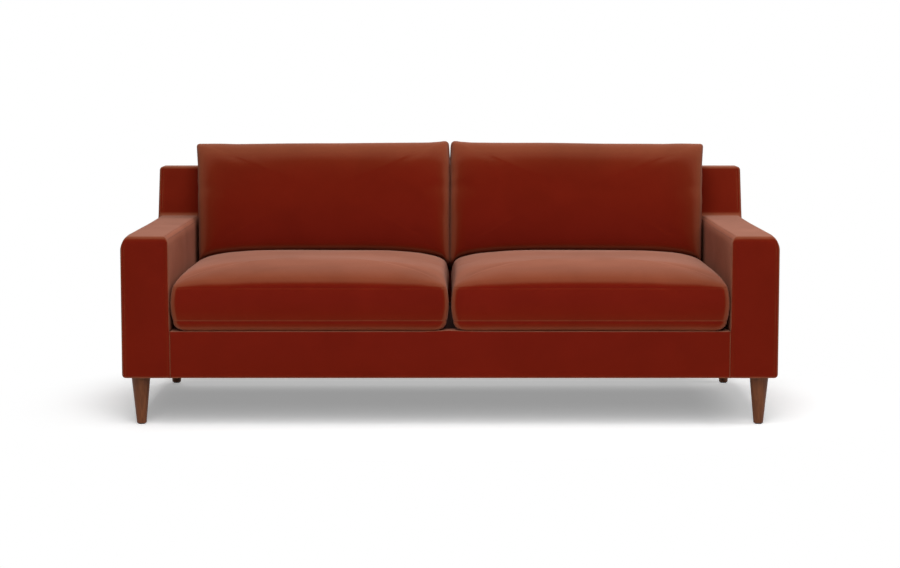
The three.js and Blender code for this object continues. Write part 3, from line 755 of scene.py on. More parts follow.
def arm_band(least):
    """The rings of points that run round the arm's outline, from its inner to its outer face."""
    edges = [[[max(r, least) for r in rounds] for rounds in edge] for edge in (INNER_EDGE, OUTER_EDGE)]
    corners = [(y, z, max(r, least)) for y, z, r in arm_corners()]
    rings = belt(corners, ARM_WIDTH, ARM_SHARES, *edges)
    if not least:
        inner = rings[: len(EDGE_ANGLES)]
        tight = (1 - smoothstep(inner[..., 2], *RAIL_EDGE_FADE)) * (inner[..., 1] < FRONT + RAIL_EDGE_DEPTH)
        share = 1 - (1 - RAIL_EDGE_SHARE) * tight
        inner[..., 0] *= share
        inner[..., 1] = FRONT + (inner[..., 1] - FRONT) * share
    x, y, z = np.moveaxis(rings, 2, 0)
    behind = (y > outside_back_at(z) - PANEL_MARGIN) & (z < PANEL_TOP + PANEL_OVER)
    rings[..., 1] -= PANEL_RECESS * (behind & (x < ARM_WIDTH - PANEL_MARGIN))
    return rings


def bulging_cap(polygon, outline_, height):
    """A cap as points (out, across, up) and faces; it stands out by a height away from its outline."""
    flat, faces = cap(polygon)
    return np.column_stack([height * near_edge(distance_to_loop(flat, outline_), BULGE_REACH), flat]), faces


def arm_skin(least=0.0):
    """The arm's velvet as (points, faces) parts, its inner face at X 0, with no round under the least."""
    rings = arm_band(least)
    stations, count = rings.shape[:2]

    def is_closed(i, k):
        """All but the opening in the arm's foot."""
        x, y, z = rings[i : i + 2, [k, (k + 1) % count]].mean((0, 1))
        across = ARM_TURN_UNDER < x < ARM_WIDTH - ARM_TURN_UNDER / 2
        deep = FRONT + ARM_TURN_UNDER < y < outside_back_at(z) - ARM_TURN_UNDER
        return not (z < BASE_BOTTOM + ARM_FOOT_SPARE and across and deep)

    band = rings.reshape(-1, 3), ring_faces(stations, count, keep=is_closed)
    outer, faces = bulging_cap(rings[-1, :, 1:], rings[-1, :, 1:], OUTER_BULGE)
    outer_cap = outer + (ARM_WIDTH, 0, 0), faces

    ring = rings[0, :, 1:]
    top = sorted((p for p in ring if on_inner_face(*p)), key=lambda p: (p[0] - FRONT) + (p[1] - BASE_BOTTOM))
    end, foot = top[-1], DECK_TOP - FACE_LAP
    heights = np.linspace(end[1], foot, FACE_RAKE_STEPS)[1:]
    rake = [(inside_back_at(z) + (end[0] - inside_back_at(end[1])), z) for z in heights]
    deck = [(y, foot) for y in np.linspace(rake[-1][0], top[0][0], FACE_DECK_STEPS)[1:-1]]
    inner, faces = bulging_cap(np.array([*top, *rake, *deck]), ring, INNER_BULGE)
    inner_cap = inner * (-1, 1, 1), reversed_faces(faces)

    def needs_flap(_, k):
        y, z = ring[k]
        return y > FLAP_BEHIND and z > FLAP_OVER and not on_inner_face(y, z)

    flap = np.column_stack([np.full(count, TURN_IN), ring])
    turned = np.concatenate([flap, rings[0]]), reversed_faces(ring_faces(2, count, keep=needs_flap))
    return band, outer_cap, inner_cap, turned


def front_seam():
    """The seam round the arm's front panel."""
    left, right = FRONT_SEAM_INSET, ARM_WIDTH - FRONT_SEAM_INSET
    top, foot, r = ARM_TOP - FRONT_SEAM_DROP, BASE_BOTTOM + FRONT_SEAM_FOOT, FRONT_SEAM_ROUND
    line = [(left, foot), *arc(Vector((left + r, top - r)), Vector((left, top - r)), -math.pi / 2)]
    line += [*arc(Vector((right - r, top - r)), Vector((right - r, top)), -math.pi / 2), (right, foot)]
    return [(x, FRONT, z) for x, z in line]


def edge_seam(x):
    """A seam beside the raked front of the back."""
    heights = np.linspace(ARM_TOP + ARM_SWEEP, BACK_TOP - BACK_TOP_ROUND, EDGE_SEAM_POINTS)
    return [(x, inside_back_at(z), z) for z in heights]


def stitch_rows():
    """The two rows of stitches that straddle the inner top edge's seam."""
    depths = FRONT + STITCH_START, FRONT + ARM_TOP_LENGTH - ARM_SWEEP * STITCH_STOP
    return [[(x, y, z) for y in depths] for x, z in ((STITCH_ON_TOP, ARM_TOP), (0.0, ARM_TOP - STITCH_ON_SIDE))]


def settle_on(obj, lines):
    """Moves lines to the surface of a piece, each point to its nearest place, and gives that place's normal."""
    tree = BVHTree.FromObject(obj, bpy.context.evaluated_depsgraph_get())
    settled, normals = [], []
    for line in lines:
        found = [tree.find_nearest(Vector(p), SETTLE_REACH) for p in spaced(line, SETTLE_STEP)]
        settled.append([tuple(f[0]) for f in found])
        normals.append(sum((f[1] for f in found), Vector()).normalized())
    return settled, normals


def make_arms():
    arm = new_object("arm_right", *joined(arm_skin()), "velvet")
    modified(arm, "WELD", merge_threshold=WELD_REACH)
    face_outwards(arm)
    seams_at = FRONT_SEAM_INSET, ARM_WIDTH - FRONT_SEAM_INSET - EDGE_SEAM_SHIFT
    sew(arm, [front_seam(), *(edge_seam(x) for x in seams_at)], puff=ARM_PUFF)
    rows = stitch_rows()
    sew(arm, rows, depth=GROOVE_DEPTH, width=GROOVE_WIDTH, gather=0)
    set_points(arm, arm_shape(points_of(arm)) + (INNER_FACE, 0, 0))
    rows, normals = settle_on(arm, [[(x + INNER_FACE, y, z) for x, y, z in row] for row in rows])
    thread = stitches("arm_stitching_right", rows, normals)
    thicken(arm, VELVET_WALL)
    left_arm, left_thread = mirror(copied(arm, "arm_left")), mirror(copied(thread, "arm_stitching_left"))
    for side, cover, row in (("right", arm, thread), ("left", left_arm, left_thread)):
        hand_over(cover, [f"arm_cover_{side}"])
        hand_over(row)


def make_arm_foam():
    """The foam under each arm's velvet: in front, on top and on both sides, open below and behind."""
    (points, faces), outer_cap, inner_cap, _ = arm_skin(FOAM_WALL + FOAM_INSET)
    middles = [points[list(face)].mean(0) for face in faces]
    faces = [face for face, (_, y, z) in zip(faces, middles) if y <= outside_back_at(z) - FOAM_END]
    foam = new_object("arm_foam_right", *joined([(points, faces), outer_cap, inner_cap]), "foam")
    modified(foam, "WELD", merge_threshold=WELD_REACH)
    face_outwards(foam)
    points = points_of(foam) - normals_of(foam) * FOAM_INSET
    points[:, 0] = np.maximum(points[:, 0], FOAM_INSET)
    set_points(foam, arm_shape(points) + (INNER_FACE, 0, 0))
    thicken(foam, FOAM_WALL)
    for side, pad in (("right", foam), ("left", mirror(copied(foam, "arm_foam_left")))):
        hand_over(pad, [f"arm_pad_{side}"])


# Covers between the arms

BETWEEN_EDGE = 0.0025
BETWEEN_SHARES = [0.004, 0.01, 0.02, 0.05, *(0.1 + 0.05 * i for i in range(17)), 0.95, 0.98, 0.99, 0.996]
PATH_STEP = 0.008


def strip(path, reach, turn):
    """A cover between the arms: a path of (y, z) points run from side to side, its two ends turned in.

    The path's left side, as it runs, is the inside of the cover."""
    path = np.asarray(path)
    ahead = np.gradient(path, axis=0)
    ahead /= np.linalg.norm(ahead, axis=1)[:, None]
    inward = np.column_stack([-ahead[:, 1], ahead[:, 0]])
    edge = [(reach, turn)]
    edge += [(reach - BETWEEN_EDGE * (1 - math.cos(a)), BETWEEN_EDGE * (1 - math.sin(a))) for a in EDGE_ANGLES]
    stations = edge + [((reach - BETWEEN_EDGE) * (1 - 2 * share), 0) for share in BETWEEN_SHARES]
    stations += [(-x, deep) for x, deep in reversed(edge)]
    rings = [np.column_stack([np.full(len(path), x), path + inward * deep]) for x, deep in stations]
    return np.concatenate(rings), ring_faces(len(rings), len(path), closed=False)


def path_through(corners):
    """An open path through (y, z, round) corners, each rounded by an arc."""
    points = [Vector(corners[0][:2])]
    for before, here, after in zip(corners, corners[1:], corners[2:]):
        p, round_ = Vector(here[:2]), here[2]
        behind = (Vector(before[:2]) - p).normalized()
        ahead = (Vector(after[:2]) - p).normalized()
        half = behind.angle(ahead) / 2
        start, end = (p + way * (round_ / math.tan(half)) for way in (behind, ahead))
        centre = p + (behind + ahead).normalized() * (round_ / math.sin(half))
        points += arc(centre, start, -(start - centre).angle_signed(end - centre))
    points.append(Vector(corners[-1][:2]))
    dense = [points[0]]
    for a, b in zip(points, points[1:]):
        steps = max(1, round((b - a).length / PATH_STEP))
        dense += [a.lerp(b, j / steps) for j in range(1, steps + 1)]
    return [tuple(p) for p in dense]


def make_between(name, path, reach, replaced, shape, turn=TURN_IN, way=None):
    """One velvet cover between the arms. Its shape moves its points, and its way is where its faces look
    if that isn't simply outwards."""
    cover = new_object(name, *strip(path[::-1], reach, turn), "velvet")
    if way:
        face_towards(cover, way)
    else:
        face_outwards(cover)
    set_points(cover, shape(points_of(cover), normals_of(cover)))
    thicken(cover, VELVET_WALL)
    hand_over(cover, [replaced])


RAIL_ROUND = 0.0013
RAIL_FOOT_ROUND = 0.007
RAIL_TURN_UNDER = 0.03
# The rail's face is crowned, up to this depth
RAIL_CROWN = 0.0025
RAIL_CROWN_DEPTH = 0.01
# Between the cushions the rail's top edge is pinched up, over this width, height and depth
RAIL_PINCH = 0.004
RAIL_PINCH_SIZE = (0.018, 0.05, 0.012)


def make_front_rail():
    corners = [
        (FRONT + RAIL_TURN_UNDER, BASE_BOTTOM, 0),
        (FRONT, BASE_BOTTOM, RAIL_FOOT_ROUND),
        (FRONT, DECK_TOP, RAIL_ROUND),
        (RAIL_DEPTH, DECK_TOP, 0),
    ]

    def shape(points, normals):
        x, y, z = points.T
        share, height = np.abs(x) / RAIL_REACH, (z - BASE_BOTTOM) / (DECK_TOP - BASE_BOTTOM)
        crown = RAIL_CROWN * (1 - share**8) * np.sin(np.pi * np.clip(height, 0, 1))
        crown *= y < FRONT + RAIL_CROWN_DEPTH
        width, depth, drop = RAIL_PINCH_SIZE
        lift = RAIL_PINCH * np.exp(-((x / width) ** 2)) * smoothstep(z, DECK_TOP - drop, DECK_TOP)
        lift *= y < FRONT + depth
        return points + normals * crown[:, None] + np.outer(lift, UPWARDS)

    reach = RAIL_REACH - INNER_OUT
    make_between("front_rail_velvet", path_through(corners), reach, "front_rail_cover", shape)


# How far in and down the cover is tucked under the rear panel's top edge
REAR_TUCK = (0.003, 0.008)
INSIDE_BACK_CLEAR = 0.0003
# How far the padding rises, from the deck up over this height, and fades again below the top
INSIDE_BACK_RISE = 0.003
INSIDE_BACK_RISE_HEIGHT = 0.1
INSIDE_BACK_FADE = 0.02
INSIDE_BACK_PLUMP = 0.001


def make_inside_back():
    top, end = BACK_TOP - BACK_TOP_DROP, PANEL_TOP - REAR_TUCK[1]
    corners = [
        (inside_back_at(DECK_TOP), DECK_TOP + INSIDE_BACK_CLEAR, 0),
        (inside_back_at(top), top, BACK_TOP_ROUND),
        (outside_back_at(top), top, BACK_TOP_ROUND),
        (outside_back_at(end) - REAR_TUCK[0], end, 0),
    ]

    def shape(points, normals):
        share, z = np.abs(points[:, 0]) / INSIDE_BACK_REACH, points[:, 2]
        rise = INSIDE_BACK_RISE * (1 - share**10) * smoothstep(z, DECK_TOP, DECK_TOP + INSIDE_BACK_RISE_HEIGHT)
        rise = rise * (1 - smoothstep(z, top - INSIDE_BACK_FADE, top)) + INSIDE_BACK_PLUMP * (1 - share**20)
        return points + normals * rise[:, None]

    path = path_through(corners)
    make_between("inside_back_velvet", path, INSIDE_BACK_REACH, "inside_back_cover", shape)


PANEL_STEPS = 60
PANEL_END = 0.002
PANEL_TURN_IN = 0.003
PANEL_RISE = 0.002
PANEL_RISE_REACH = 0.03


def make_rear_panel():
    low, high = BASE_BOTTOM, PANEL_TOP
    heights = [low, *np.linspace(low + PANEL_END, high - PANEL_END, PANEL_STEPS), high]

    def shape(points, normals):
        x, _, z = points.T
        rise = PANEL_RISE
        for distance in (PANEL_REACH - np.abs(x), z - low, high - z):
            rise = rise * near_edge(distance, PANEL_RISE_REACH)
        return points + normals * rise[:, None]

    path = [(outside_back_at(z), z) for z in heights]
    make_between(
        "outside_back_velvet", path, PANEL_REACH, "outside_back_cover", shape, PANEL_TURN_IN, BACKWARDS
    )


# Deck and dust cover, two flat sheets held stretched

DECK_STEPS = (90, 38)
DECK_WALL = 0.0015
DECK_SAG = 0.0012
DECK_SAG_REACH = 0.05
# The share of the sag that ripples, and how closely
DECK_RIPPLE = 0.4
DECK_RIPPLE_SCALE = 9
DUST_STEP = 0.04
DUST_WALL = 0.0009
DUST_SAG = 0.003
DUST_SAG_REACH = 0.2
LEG_HOLE_RADIUS = 0.0345
LEG_HOLE_SIDES = 28
LEGS = [(end, side) for end in ("front", "rear") for side in ("left", "right")]


def make_deck():
    low, high = DECK_BOX
    across, depth = (np.linspace(*ends, n) for ends, n in zip(((-high.x, high.x), (low.y, high.y)), DECK_STEPS))
    points = np.array([(x, y, high.z) for x in across for y in depth])
    ripple = np.array([noise.noise(Vector(p) * DECK_RIPPLE_SCALE) for p in points])
    sag = DECK_SAG * near_edge(high.x - np.abs(points[:, 0]), DECK_SAG_REACH)
    points[:, 2] -= sag * (1 - DECK_RIPPLE + DECK_RIPPLE * ripple)
    deck = new_object("deck_cloth", points, ring_faces(*DECK_STEPS, closed=False), "decking")
    face_towards(deck, UPWARDS)
    thicken(deck, DECK_WALL)
    hand_over(deck, ["deck_cover"])


def make_dust_cover():
    """The cover under the base, with a hole round each leg."""
    low, high = DUST_BOX
    corners = [Vector(p) for p in ((low.x, low.y), (high.x, low.y), (high.x, high.y), (low.x, high.y))]
    loop = []
    for a, b in zip(corners, corners[1:] + corners[:1]):
        steps = round((b - a).length / DUST_STEP)
        loop += [tuple(a.lerp(b, j / steps)) for j in range(steps)]
    boxes = [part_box(f"leg_{end}_{side}") for end, side in LEGS]
    holes = [circle((a + b) / 2, LEG_HOLE_RADIUS, LEG_HOLE_SIDES) for a, b in boxes]
    flat, faces = cap(loop, holes, step=DUST_STEP)
    away = np.min([distance_to_loop(flat, np.array(edge)) for edge in (loop, *holes)], axis=0)
    sag = DUST_SAG * (np.minimum(away, DUST_SAG_REACH) / DUST_SAG_REACH) ** 2
    cover = new_object("dust_cloth", np.column_stack([flat, high.z - sag]), faces, "lining")
    face_towards(cover, DOWNWARDS)
    thicken(cover, -DUST_WALL)
    hand_over(cover, ["dust_cover"])


# Legs

LEG_SIDES = 48
LEG_EASE = 0.0012
LEG_EASE_STEPS = 4
LEG_STEPS = 12
LEG_TOP_RADIUS = 0.031
LEG_FOOT_RADIUS = 0.0158
LEG_SHARP_ANGLE = math.radians(50)
LEG_WELD_REACH = 1e-5


def make_legs():
    for end, side in LEGS:
        low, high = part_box(f"leg_{end}_{side}")
        foot, top = low.z, high.z
        profile = [(0.0, foot), (LEG_FOOT_RADIUS - LEG_EASE, foot)]
        for j in range(1, LEG_EASE_STEPS + 1):
            a = math.pi / 2 * j / LEG_EASE_STEPS
            inwards, upwards = LEG_EASE * (1 - math.sin(a)), LEG_EASE * (1 - math.cos(a))
            profile.append((LEG_FOOT_RADIUS - inwards, foot + upwards))
        for share in (j / LEG_STEPS for j in range(1, LEG_STEPS + 1)):
            radius = LEG_FOOT_RADIUS + (LEG_TOP_RADIUS - LEG_FOOT_RADIUS) * share
            profile.append((radius, foot + LEG_EASE + (top - foot - LEG_EASE) * share))
        profile.append((0.0, top))
        rings = [(*p, z) for radius, z in profile for p in circle((low + high) / 2, radius, LEG_SIDES)]
        leg = new_object(f"leg_wood_{end}_{side}", rings, ring_faces(len(profile), LEG_SIDES), "walnut")
        modified(leg, "WELD", merge_threshold=LEG_WELD_REACH)
        face_outwards(leg)
        hand_over(leg, [f"leg_{end}_{side}"])
        leg.data.set_sharp_from_angle(angle=LEG_SHARP_ANGLE)


# Cushions

# The share of the square's side that a rounded corner takes
CORNER_SHARE = 0.2
# Levels round the foot, and points along a seam
FOOT_STEPS = 6
SEAM_STEPS = 400
# How quickly the crown's rings close up towards the edge, and the exponents of its fall there
RING_EASE = 1.7
EDGE_FALL = (150, 0.5)


class Cushion:
    """A boxed cushion's form, in its own axes: X across, Y along, Z from its flat side to its crown."""

    def __init__(self, size, seams, crown, corner, draw_in, bulge, ends, low, high, foot):
        """Ends, low and high are the crown's two exponents across, and along to either side of its middle."""
        self.half = size[0] / 2, size[1] / 2
        self.low_seam, self.high_seam = seams
        self.crown, self.corner, self.draw_in, self.bulge = crown, corner, draw_in, bulge
        self.ends, self.low, self.high, self.foot = ends, low, high, foot

    def edge(self, p, q):
        """The place on the cushion's rounded edge for a place on the edge of the square from -1 to 1."""
        a, b = self.half
        if abs(q) >= abs(p):
            x, y = self.side(p, a, b)
            return x, math.copysign(y, q)
        y, x = self.side(q, b, a)
        return math.copysign(x, p), y

    def side(self, t, along, out):
        r, straight = self.corner, 1 - CORNER_SHARE
        if abs(t) <= straight:
            share = t / straight
            return share * (along - r), out - self.draw_in * (1 - share**2)
        angle = (abs(t) - straight) / CORNER_SHARE * math.pi / 4
        return math.copysign(along - r + r * math.sin(angle), t), out - r + r * math.cos(angle)

    def pulled(self, x, y, pull, foot=0.0):
        """A place drawn towards the middle by a pull, and by a share of what the foot is drawn in."""
        return tuple(v * (1 - (pull + d * foot) / half) for v, d, half in zip((x, y), self.foot, self.half))

    def crown_at(self, x, y, out):
        """The crown's share of its full height at a place; out runs from the middle to the edge."""

        def falls(share, exponents):
            return max(1 - min(abs(share), 1) ** exponents[0], 0) ** exponents[1]

        along = falls(y / self.half[1], self.low if y < 0 else self.high)
        return falls(x / self.half[0], self.ends) * along * falls(out, EDGE_FALL)

    def bottom_place(self, u, v):
        """The place on the flat side for a place within the square."""
        ring = max(abs(u), abs(v))
        if ring == 0:
            return 0.0, 0.0, 0.0
        x, y = self.edge(u / ring, v / ring)
        return *self.pulled(x * ring, y * ring, self.bulge, 1.0), 0.0

    def top_place(self, u, v):
        """The place on the crowned side for a place within the square: rings from an oval to the edge."""
        ring = max(abs(u), abs(v))
        if ring == 0:
            return 0.0, 0.0, self.high_seam + self.crown
        x, y = self.edge(u / ring, v / ring)
        out = 1 - (1 - ring) ** RING_EASE
        angle = math.atan2(y / self.half[1], x / self.half[0])
        oval = self.half[0] * math.cos(angle), self.half[1] * math.sin(angle)
        x, y = (out * (e * out**2 + o * (1 - out**2)) for e, o in zip((x, y), oval))
        return *self.pulled(x, y, self.bulge), self.high_seam + self.crown * self.crown_at(x, y, out)

    def levels(self, side_heights):
        """The rounded foot and the side as levels of (pull, foot, height)."""
        turns = [math.pi / 2 * j / FOOT_STEPS for j in range(FOOT_STEPS)]
        levels = [(self.bulge, 1 - math.sin(a), self.low_seam * (1 - math.cos(a))) for a in turns]
        middle, reach = (self.low_seam + self.high_seam) / 2, (self.high_seam - self.low_seam) / 2
        return levels + [(self.bulge * ((z - middle) / reach) ** 2, 0.0, z) for z in side_heights]

    def form(self, counts, side_heights):
        """The whole cushion as points and faces."""
        m, n = counts
        nodes = {(i, j): (2 * i / m - 1, 2 * j / n - 1) for i in range(m + 1) for j in range(n + 1)}
        loop = [(i, 0) for i in range(m)] + [(m, j) for j in range(n)]
        loop += [(i, n) for i in range(m, 0, -1)] + [(0, j) for j in range(n, 0, -1)]
        on_loop, levels, places = set(loop), self.levels(side_heights), {}
        for face, place in (("bottom", self.bottom_place), ("top", self.top_place)):
            places |= {(face, key): place(*uv) for key, uv in nodes.items() if key not in on_loop}
        for level, (pull, foot, z) in enumerate(levels):
            places |= {(level, key): (*self.pulled(*self.edge(*nodes[key]), pull, foot), z) for key in loop}
        index = {key: i for i, key in enumerate(places)}
        ends = {"bottom": 0, "top": len(levels) - 1}

        def at(face, key):
            return index[ends[face] if key in on_loop else face, key]

        faces = []
        for i in range(m):
            for j in range(n):
                quad = [(i, j), (i + 1, j), (i + 1, j + 1), (i, j + 1)]
                faces.append(tuple(at("top", key) for key in quad))
                faces.append(tuple(at("bottom", key) for key in reversed(quad)))
        for k in range(len(levels) - 1):
            for key, after in zip(loop, loop[1:] + loop[:1]):
                faces.append((index[k, key], index[k, after], index[k + 1, after], index[k + 1, key]))
        return np.array(list(places.values())), faces

    def seams(self):
        """The lower and upper seam, each as a closed line."""
        flat = []
        for k in range(SEAM_STEPS + 1):
            t = 8 * k / SEAM_STEPS
            side, along = int(t // 2) % 4, (t % 2) - 1
            p, q = [(along, -1), (1, along), (-along, 1), (-1, -along)][side]
            flat.append(self.pulled(*self.edge(p, q), self.bulge))
        return [[(*place, z) for place in flat] for z in (self.low_seam, self.high_seam)]


# How far the seat cushion stands out over the rail
SEAT_OVERHANG = 0.017
# The cloth buckles at other places if a last digit of these sizes changes
SEAT_SIZE = SEAT_BOX[1] - SEAT_BOX[0]
SEAT = Cushion(
    size=(SEAT_SIZE.x, SEAT_SIZE.y + SEAT_OVERHANG),
    seams=(0.034, 0.142), crown=0.0688, corner=0.022, draw_in=0.003, bulge=0.006,
    ends=(3.0, 0.34), low=(4.4, 0.56), high=(3.6, 0.38), foot=(0.038, 0.018),
)
BACK_LENGTH = 0.3892
BACK = Cushion(
    size=(BACK_BOX[1].x - BACK_BOX[0].x, BACK_LENGTH),
    seams=(0.028, 0.112), crown=0.072, corner=0.014, draw_in=0.001, bulge=0.001,
    ends=(7.0, 0.23), low=(3.6, 0.2), high=(4.4, 0.57), foot=(0.028, 0.028),
)


def smoothed(values, faces, rounds):
    """Values at points, averaged with their neighbours' a number of times."""
    pairs = np.array([(a, b) for face in faces for a, b in zip(face, (*face[1:], face[0]))])
    pairs = np.concatenate([pairs, pairs[:, ::-1]])
    count = len(values)
    shares = np.bincount(pairs[:, 0], minlength=count)[:, None]
    for _ in range(rounds):
        sums = [np.bincount(pairs[:, 0], weights=values[pairs[:, 1], k], minlength=count) for k in range(3)]
        values = (values + np.column_stack(sums) / shares) / 2
    return values


# The cloth: its grid, the levels of its side, its frames, its settings, how much smaller it starts, and
# what is kept of its folds
CLOTH_COUNTS = (72, 58)
CLOTH_LEVELS = 9
CLOTH_FRAMES = 20
CLOTH_SETTINGS = {
    "quality": 6,
    "mass": 0.3,
    "tension_stiffness": 20,
    "compression_stiffness": 20,
    "shear_stiffness": 10,
    "bending_stiffness": 1.5,
    "air_damping": 2,
    "use_pressure": True,
    "uniform_pressure_force": 4,
    "vertex_group_mass": "pin",
}
CLOTH_START_IN = 0.006
CLOTH_PIN_HEIGHT = 0.001
FOLDS_BROAD_ROUNDS = 50
FOLDS_KEPT = 0.22
FOLDS_MOST = 0.006
# The cloth's corners are too stiff to fold well, so its moves fade out this near to them
CORNER_CALM = 0.09


def swell(cushion):
    """Blows a slightly smaller copy of a cushion up as cloth. Returns its points and how the cloth's folds
    and puckers move them, no further than a cap: the broad part of the move is left out, because the
    cushion's form has it."""
    points, faces = cushion.form(CLOTH_COUNTS, np.linspace(cushion.low_seam, cushion.high_seam, CLOTH_LEVELS))
    cloth = new_object("cloth", points, faces, "velvet")
    start = points - normals_of(cloth) * CLOTH_START_IN
    set_points(cloth, start)
    pin = cloth.vertex_groups.new(name="pin")
    pin.add(np.nonzero(points[:, 2] < CLOTH_PIN_HEIGHT)[0].tolist(), 1.0, "REPLACE")
    modifier = cloth.modifiers.new("cloth", "CLOTH")
    for key, value in CLOTH_SETTINGS.items():
        setattr(modifier.settings, key, value)
    modifier.settings.effector_weights.gravity = 0
    modifier.collision_settings.use_collision = False
    modifier.point_cache.frame_start, modifier.point_cache.frame_end = 1, CLOTH_FRAMES
    for number in range(1, CLOTH_FRAMES + 1):
        bpy.context.scene.frame_set(number)
    move = vectors_of(cloth.evaluated_get(bpy.context.evaluated_depsgraph_get()).to_mesh(), "co") - start
    bpy.context.scene.frame_set(1)
    bpy.data.objects.remove(cloth)
    folds = FOLDS_KEPT * (move - smoothed(move, faces, FOLDS_BROAD_ROUNDS))
    size = np.linalg.norm(folds, axis=1)
    return points, folds * (FOLDS_MOST * np.tanh(size / FOLDS_MOST) / np.maximum(size, 1e-9))[:, None]


def carried(points, known, moves):
    """Moves known at some points, carried over to others by the nearest four."""
    tree = tree_of(known)
    result = np.empty_like(points)
    for i, p in enumerate(points):
        near = tree.find_n(p, 4)
        weights = np.array([1 / (f[2] + 1e-4) ** 2 for f in near])
        result[i] = (moves[[f[1] for f in near]] * weights[:, None]).sum(0) / weights.sum()
    return result


# Levels of a cushion's side: these distances from each seam, and some between, clear of the seams
NEAR_SEAM = (0.0, 0.0008, 0.0022, 0.005)
SIDE_CLEAR = 0.014
SIDE_LEVELS = 7
CUSHION_SEAM_WIDTH = 0.0024
CUSHION_PUFF = 0.0008


def cushion_mesh(cushion, counts):
    """One cushion in its own axes, swollen as cloth, subdivided once and sewn."""
    low, high = cushion.low_seam, cushion.high_seam
    heights = [low + d for d in NEAR_SEAM]
    heights += list(np.linspace(low + SIDE_CLEAR, high - SIDE_CLEAR, SIDE_LEVELS))
    heights += [high - d for d in reversed(NEAR_SEAM)]
    points, faces = cushion.form(counts, heights)
    obj = new_object("cushion", points, faces, "velvet")
    known, moves = swell(cushion)
    corner = np.hypot(*(half - np.abs(known[:, k]) for k, half in enumerate(cushion.half)))
    moves *= (1 - np.exp(-((corner / CORNER_CALM) ** 2)))[:, None]
    set_points(obj, points + carried(points, known, moves))
    modified(obj, "SUBSURF", levels=1)
    sew(obj, cushion.seams(), width=CUSHION_SEAM_WIDTH, puff=CUSHION_PUFF)
    return obj


VARY_MOST = 0.0012
VARY_SCALE = 5.0
VARY_SHIFT = (13.7, 7.3, 3.1)


def vary(points, seed):
    """A little unevenness, its own for each cushion."""
    shift = Vector([seed * s for s in VARY_SHIFT])
    return np.array([noise.noise(Vector(p) * VARY_SCALE + shift) for p in points]) * VARY_MOST


def place_pair(kind, cushion, counts, to_world, core, seed):
    """Both cushions of a kind, each uneven in its own way, the left one mirrored."""
    source = cushion_mesh(cushion, counts)
    points, normals = points_of(source), normals_of(source)
    for side, number in (("right", seed), ("left", seed + 1)):
        obj = copied(source, f"{kind}_{side}")
        set_points(obj, to_world(points + normals * vary(points, number)[:, None]))
        if side == "left":
            mirror(obj)
        replaced = [f"{kind}_cushion_cover_{side}", f"{kind}_cushion_{core}_{side}"]
        hand_over(obj, replaced, body=f"{kind}_cushion_{side}")
    bpy.data.objects.remove(source)


# How far the outer side stands out at shares of the height, and the inner side towards the middle
OUTER_LEAN = (
    [0.02, 0.25, 0.43, 0.61, 0.785, 0.9, 1.0],
    [-0.0045, -0.002, 0.0022, 0.0038, 0.0056, 0.0095, 0.013],
)
INNER_LEAN = (
    [0.0, 0.78, 0.825, 0.86, 0.9, 0.94, 1.0],
    [-0.0075, -0.0065, -0.0042, -0.0027, -0.0015, -0.0006, 0.0006],
)
# How far the top stands up at distances from the inner and the outer edge, above this share of the height
INNER_EAR = ([0.0, 0.014, 0.025, 0.036, 0.05, 0.072, 0.1], [0.0055, 0.005, 0.0041, 0.0024, 0.002, 0.0001, 0.0])
OUTER_EAR = ([0.0, 0.02, 0.05, 0.085, 0.15], [0.0036, 0.002, 0.0026, 0.0026, 0.0])
EAR_FROM = 0.7
BACK_TILT = 0.0075
# How far the foot may sink or rise to follow the seat, and how far up this reaches
BACK_SAG_MOST = 0.06
BACK_RISE_MOST = 0.03
BACK_SAG_REACH = 0.17
CUSHION_CLEAR = 0.0015
BACK_CLEAR = 0.0006
MIDDLE_GAP = 0.00005
# Rays look down from the first height, and one that hits nothing counts as the second
OVER_ALL, UNDER_ALL = 2.0, -1.0
# The back cushion's way up and way forward
BACK_UP = Vector((0, math.sin(INSIDE_RAKE), math.cos(INSIDE_RAKE)))
BACK_OUT = Vector((0, -math.cos(INSIDE_RAKE), math.sin(INSIDE_RAKE)))


def seat_to_world(points):
    middle = (SEAT_BOX[0] + SEAT_BOX[1]) / 2
    return points + (middle.x, middle.y - SEAT_OVERHANG / 2, SEAT_BOX[0].z)


def back_to_world(seat_tree):
    """Stands the back cushion against the inside back and lets its foot follow the seat's crown."""
    half, middle_x = BACK.half[0], (BACK_BOX[0].x + BACK_BOX[1].x) / 2
    face = Vector((0, inside_back_at(DECK_TOP), DECK_TOP)) + BACK_OUT * BACK_CLEAR
    stand = (BACK_BOX[0].z - DECK_TOP) / BACK_UP.z

    def seat_at(x, y):
        hit = seat_tree.ray_cast(Vector((x, y, OVER_ALL)), DOWNWARDS)[0]
        return hit.z + CUSHION_CLEAR if hit else UNDER_ALL

    def move(points):
        x, y, z = points.T
        height = y + BACK_LENGTH / 2
        share, outer = np.clip(height / BACK_LENGTH, 0, 1), smoothstep(x, -half, half)
        edge = np.where(x > 0, np.interp(half - x, *OUTER_EAR), np.interp(half + x, *INNER_EAR))
        ears = edge * smoothstep(share, EAR_FROM, 1.0) - BACK_TILT * x / (2 * half) * share
        x = x + np.interp(share, *OUTER_LEAN) * outer + np.interp(share, *INNER_LEAN) * (1 - outer)
        world = np.array([face + BACK_UP * (stand + h) + BACK_OUT * d for h, d in zip(height + ears, z)])
        world[:, 0] = np.maximum(x + middle_x, MIDDLE_GAP)
        sink = np.zeros(len(points))
        for i in np.nonzero(height <= BACK_SAG_REACH)[0]:
            foot = face + BACK_UP * stand + BACK_OUT * z[i]
            sink[i] = np.clip(seat_at(world[i, 0], foot.y) - foot.z, -BACK_SAG_MOST, BACK_RISE_MOST)
        world[:, 2] += sink * (1 - smoothstep(height, 0.0, BACK_SAG_REACH))
        return world

    return move


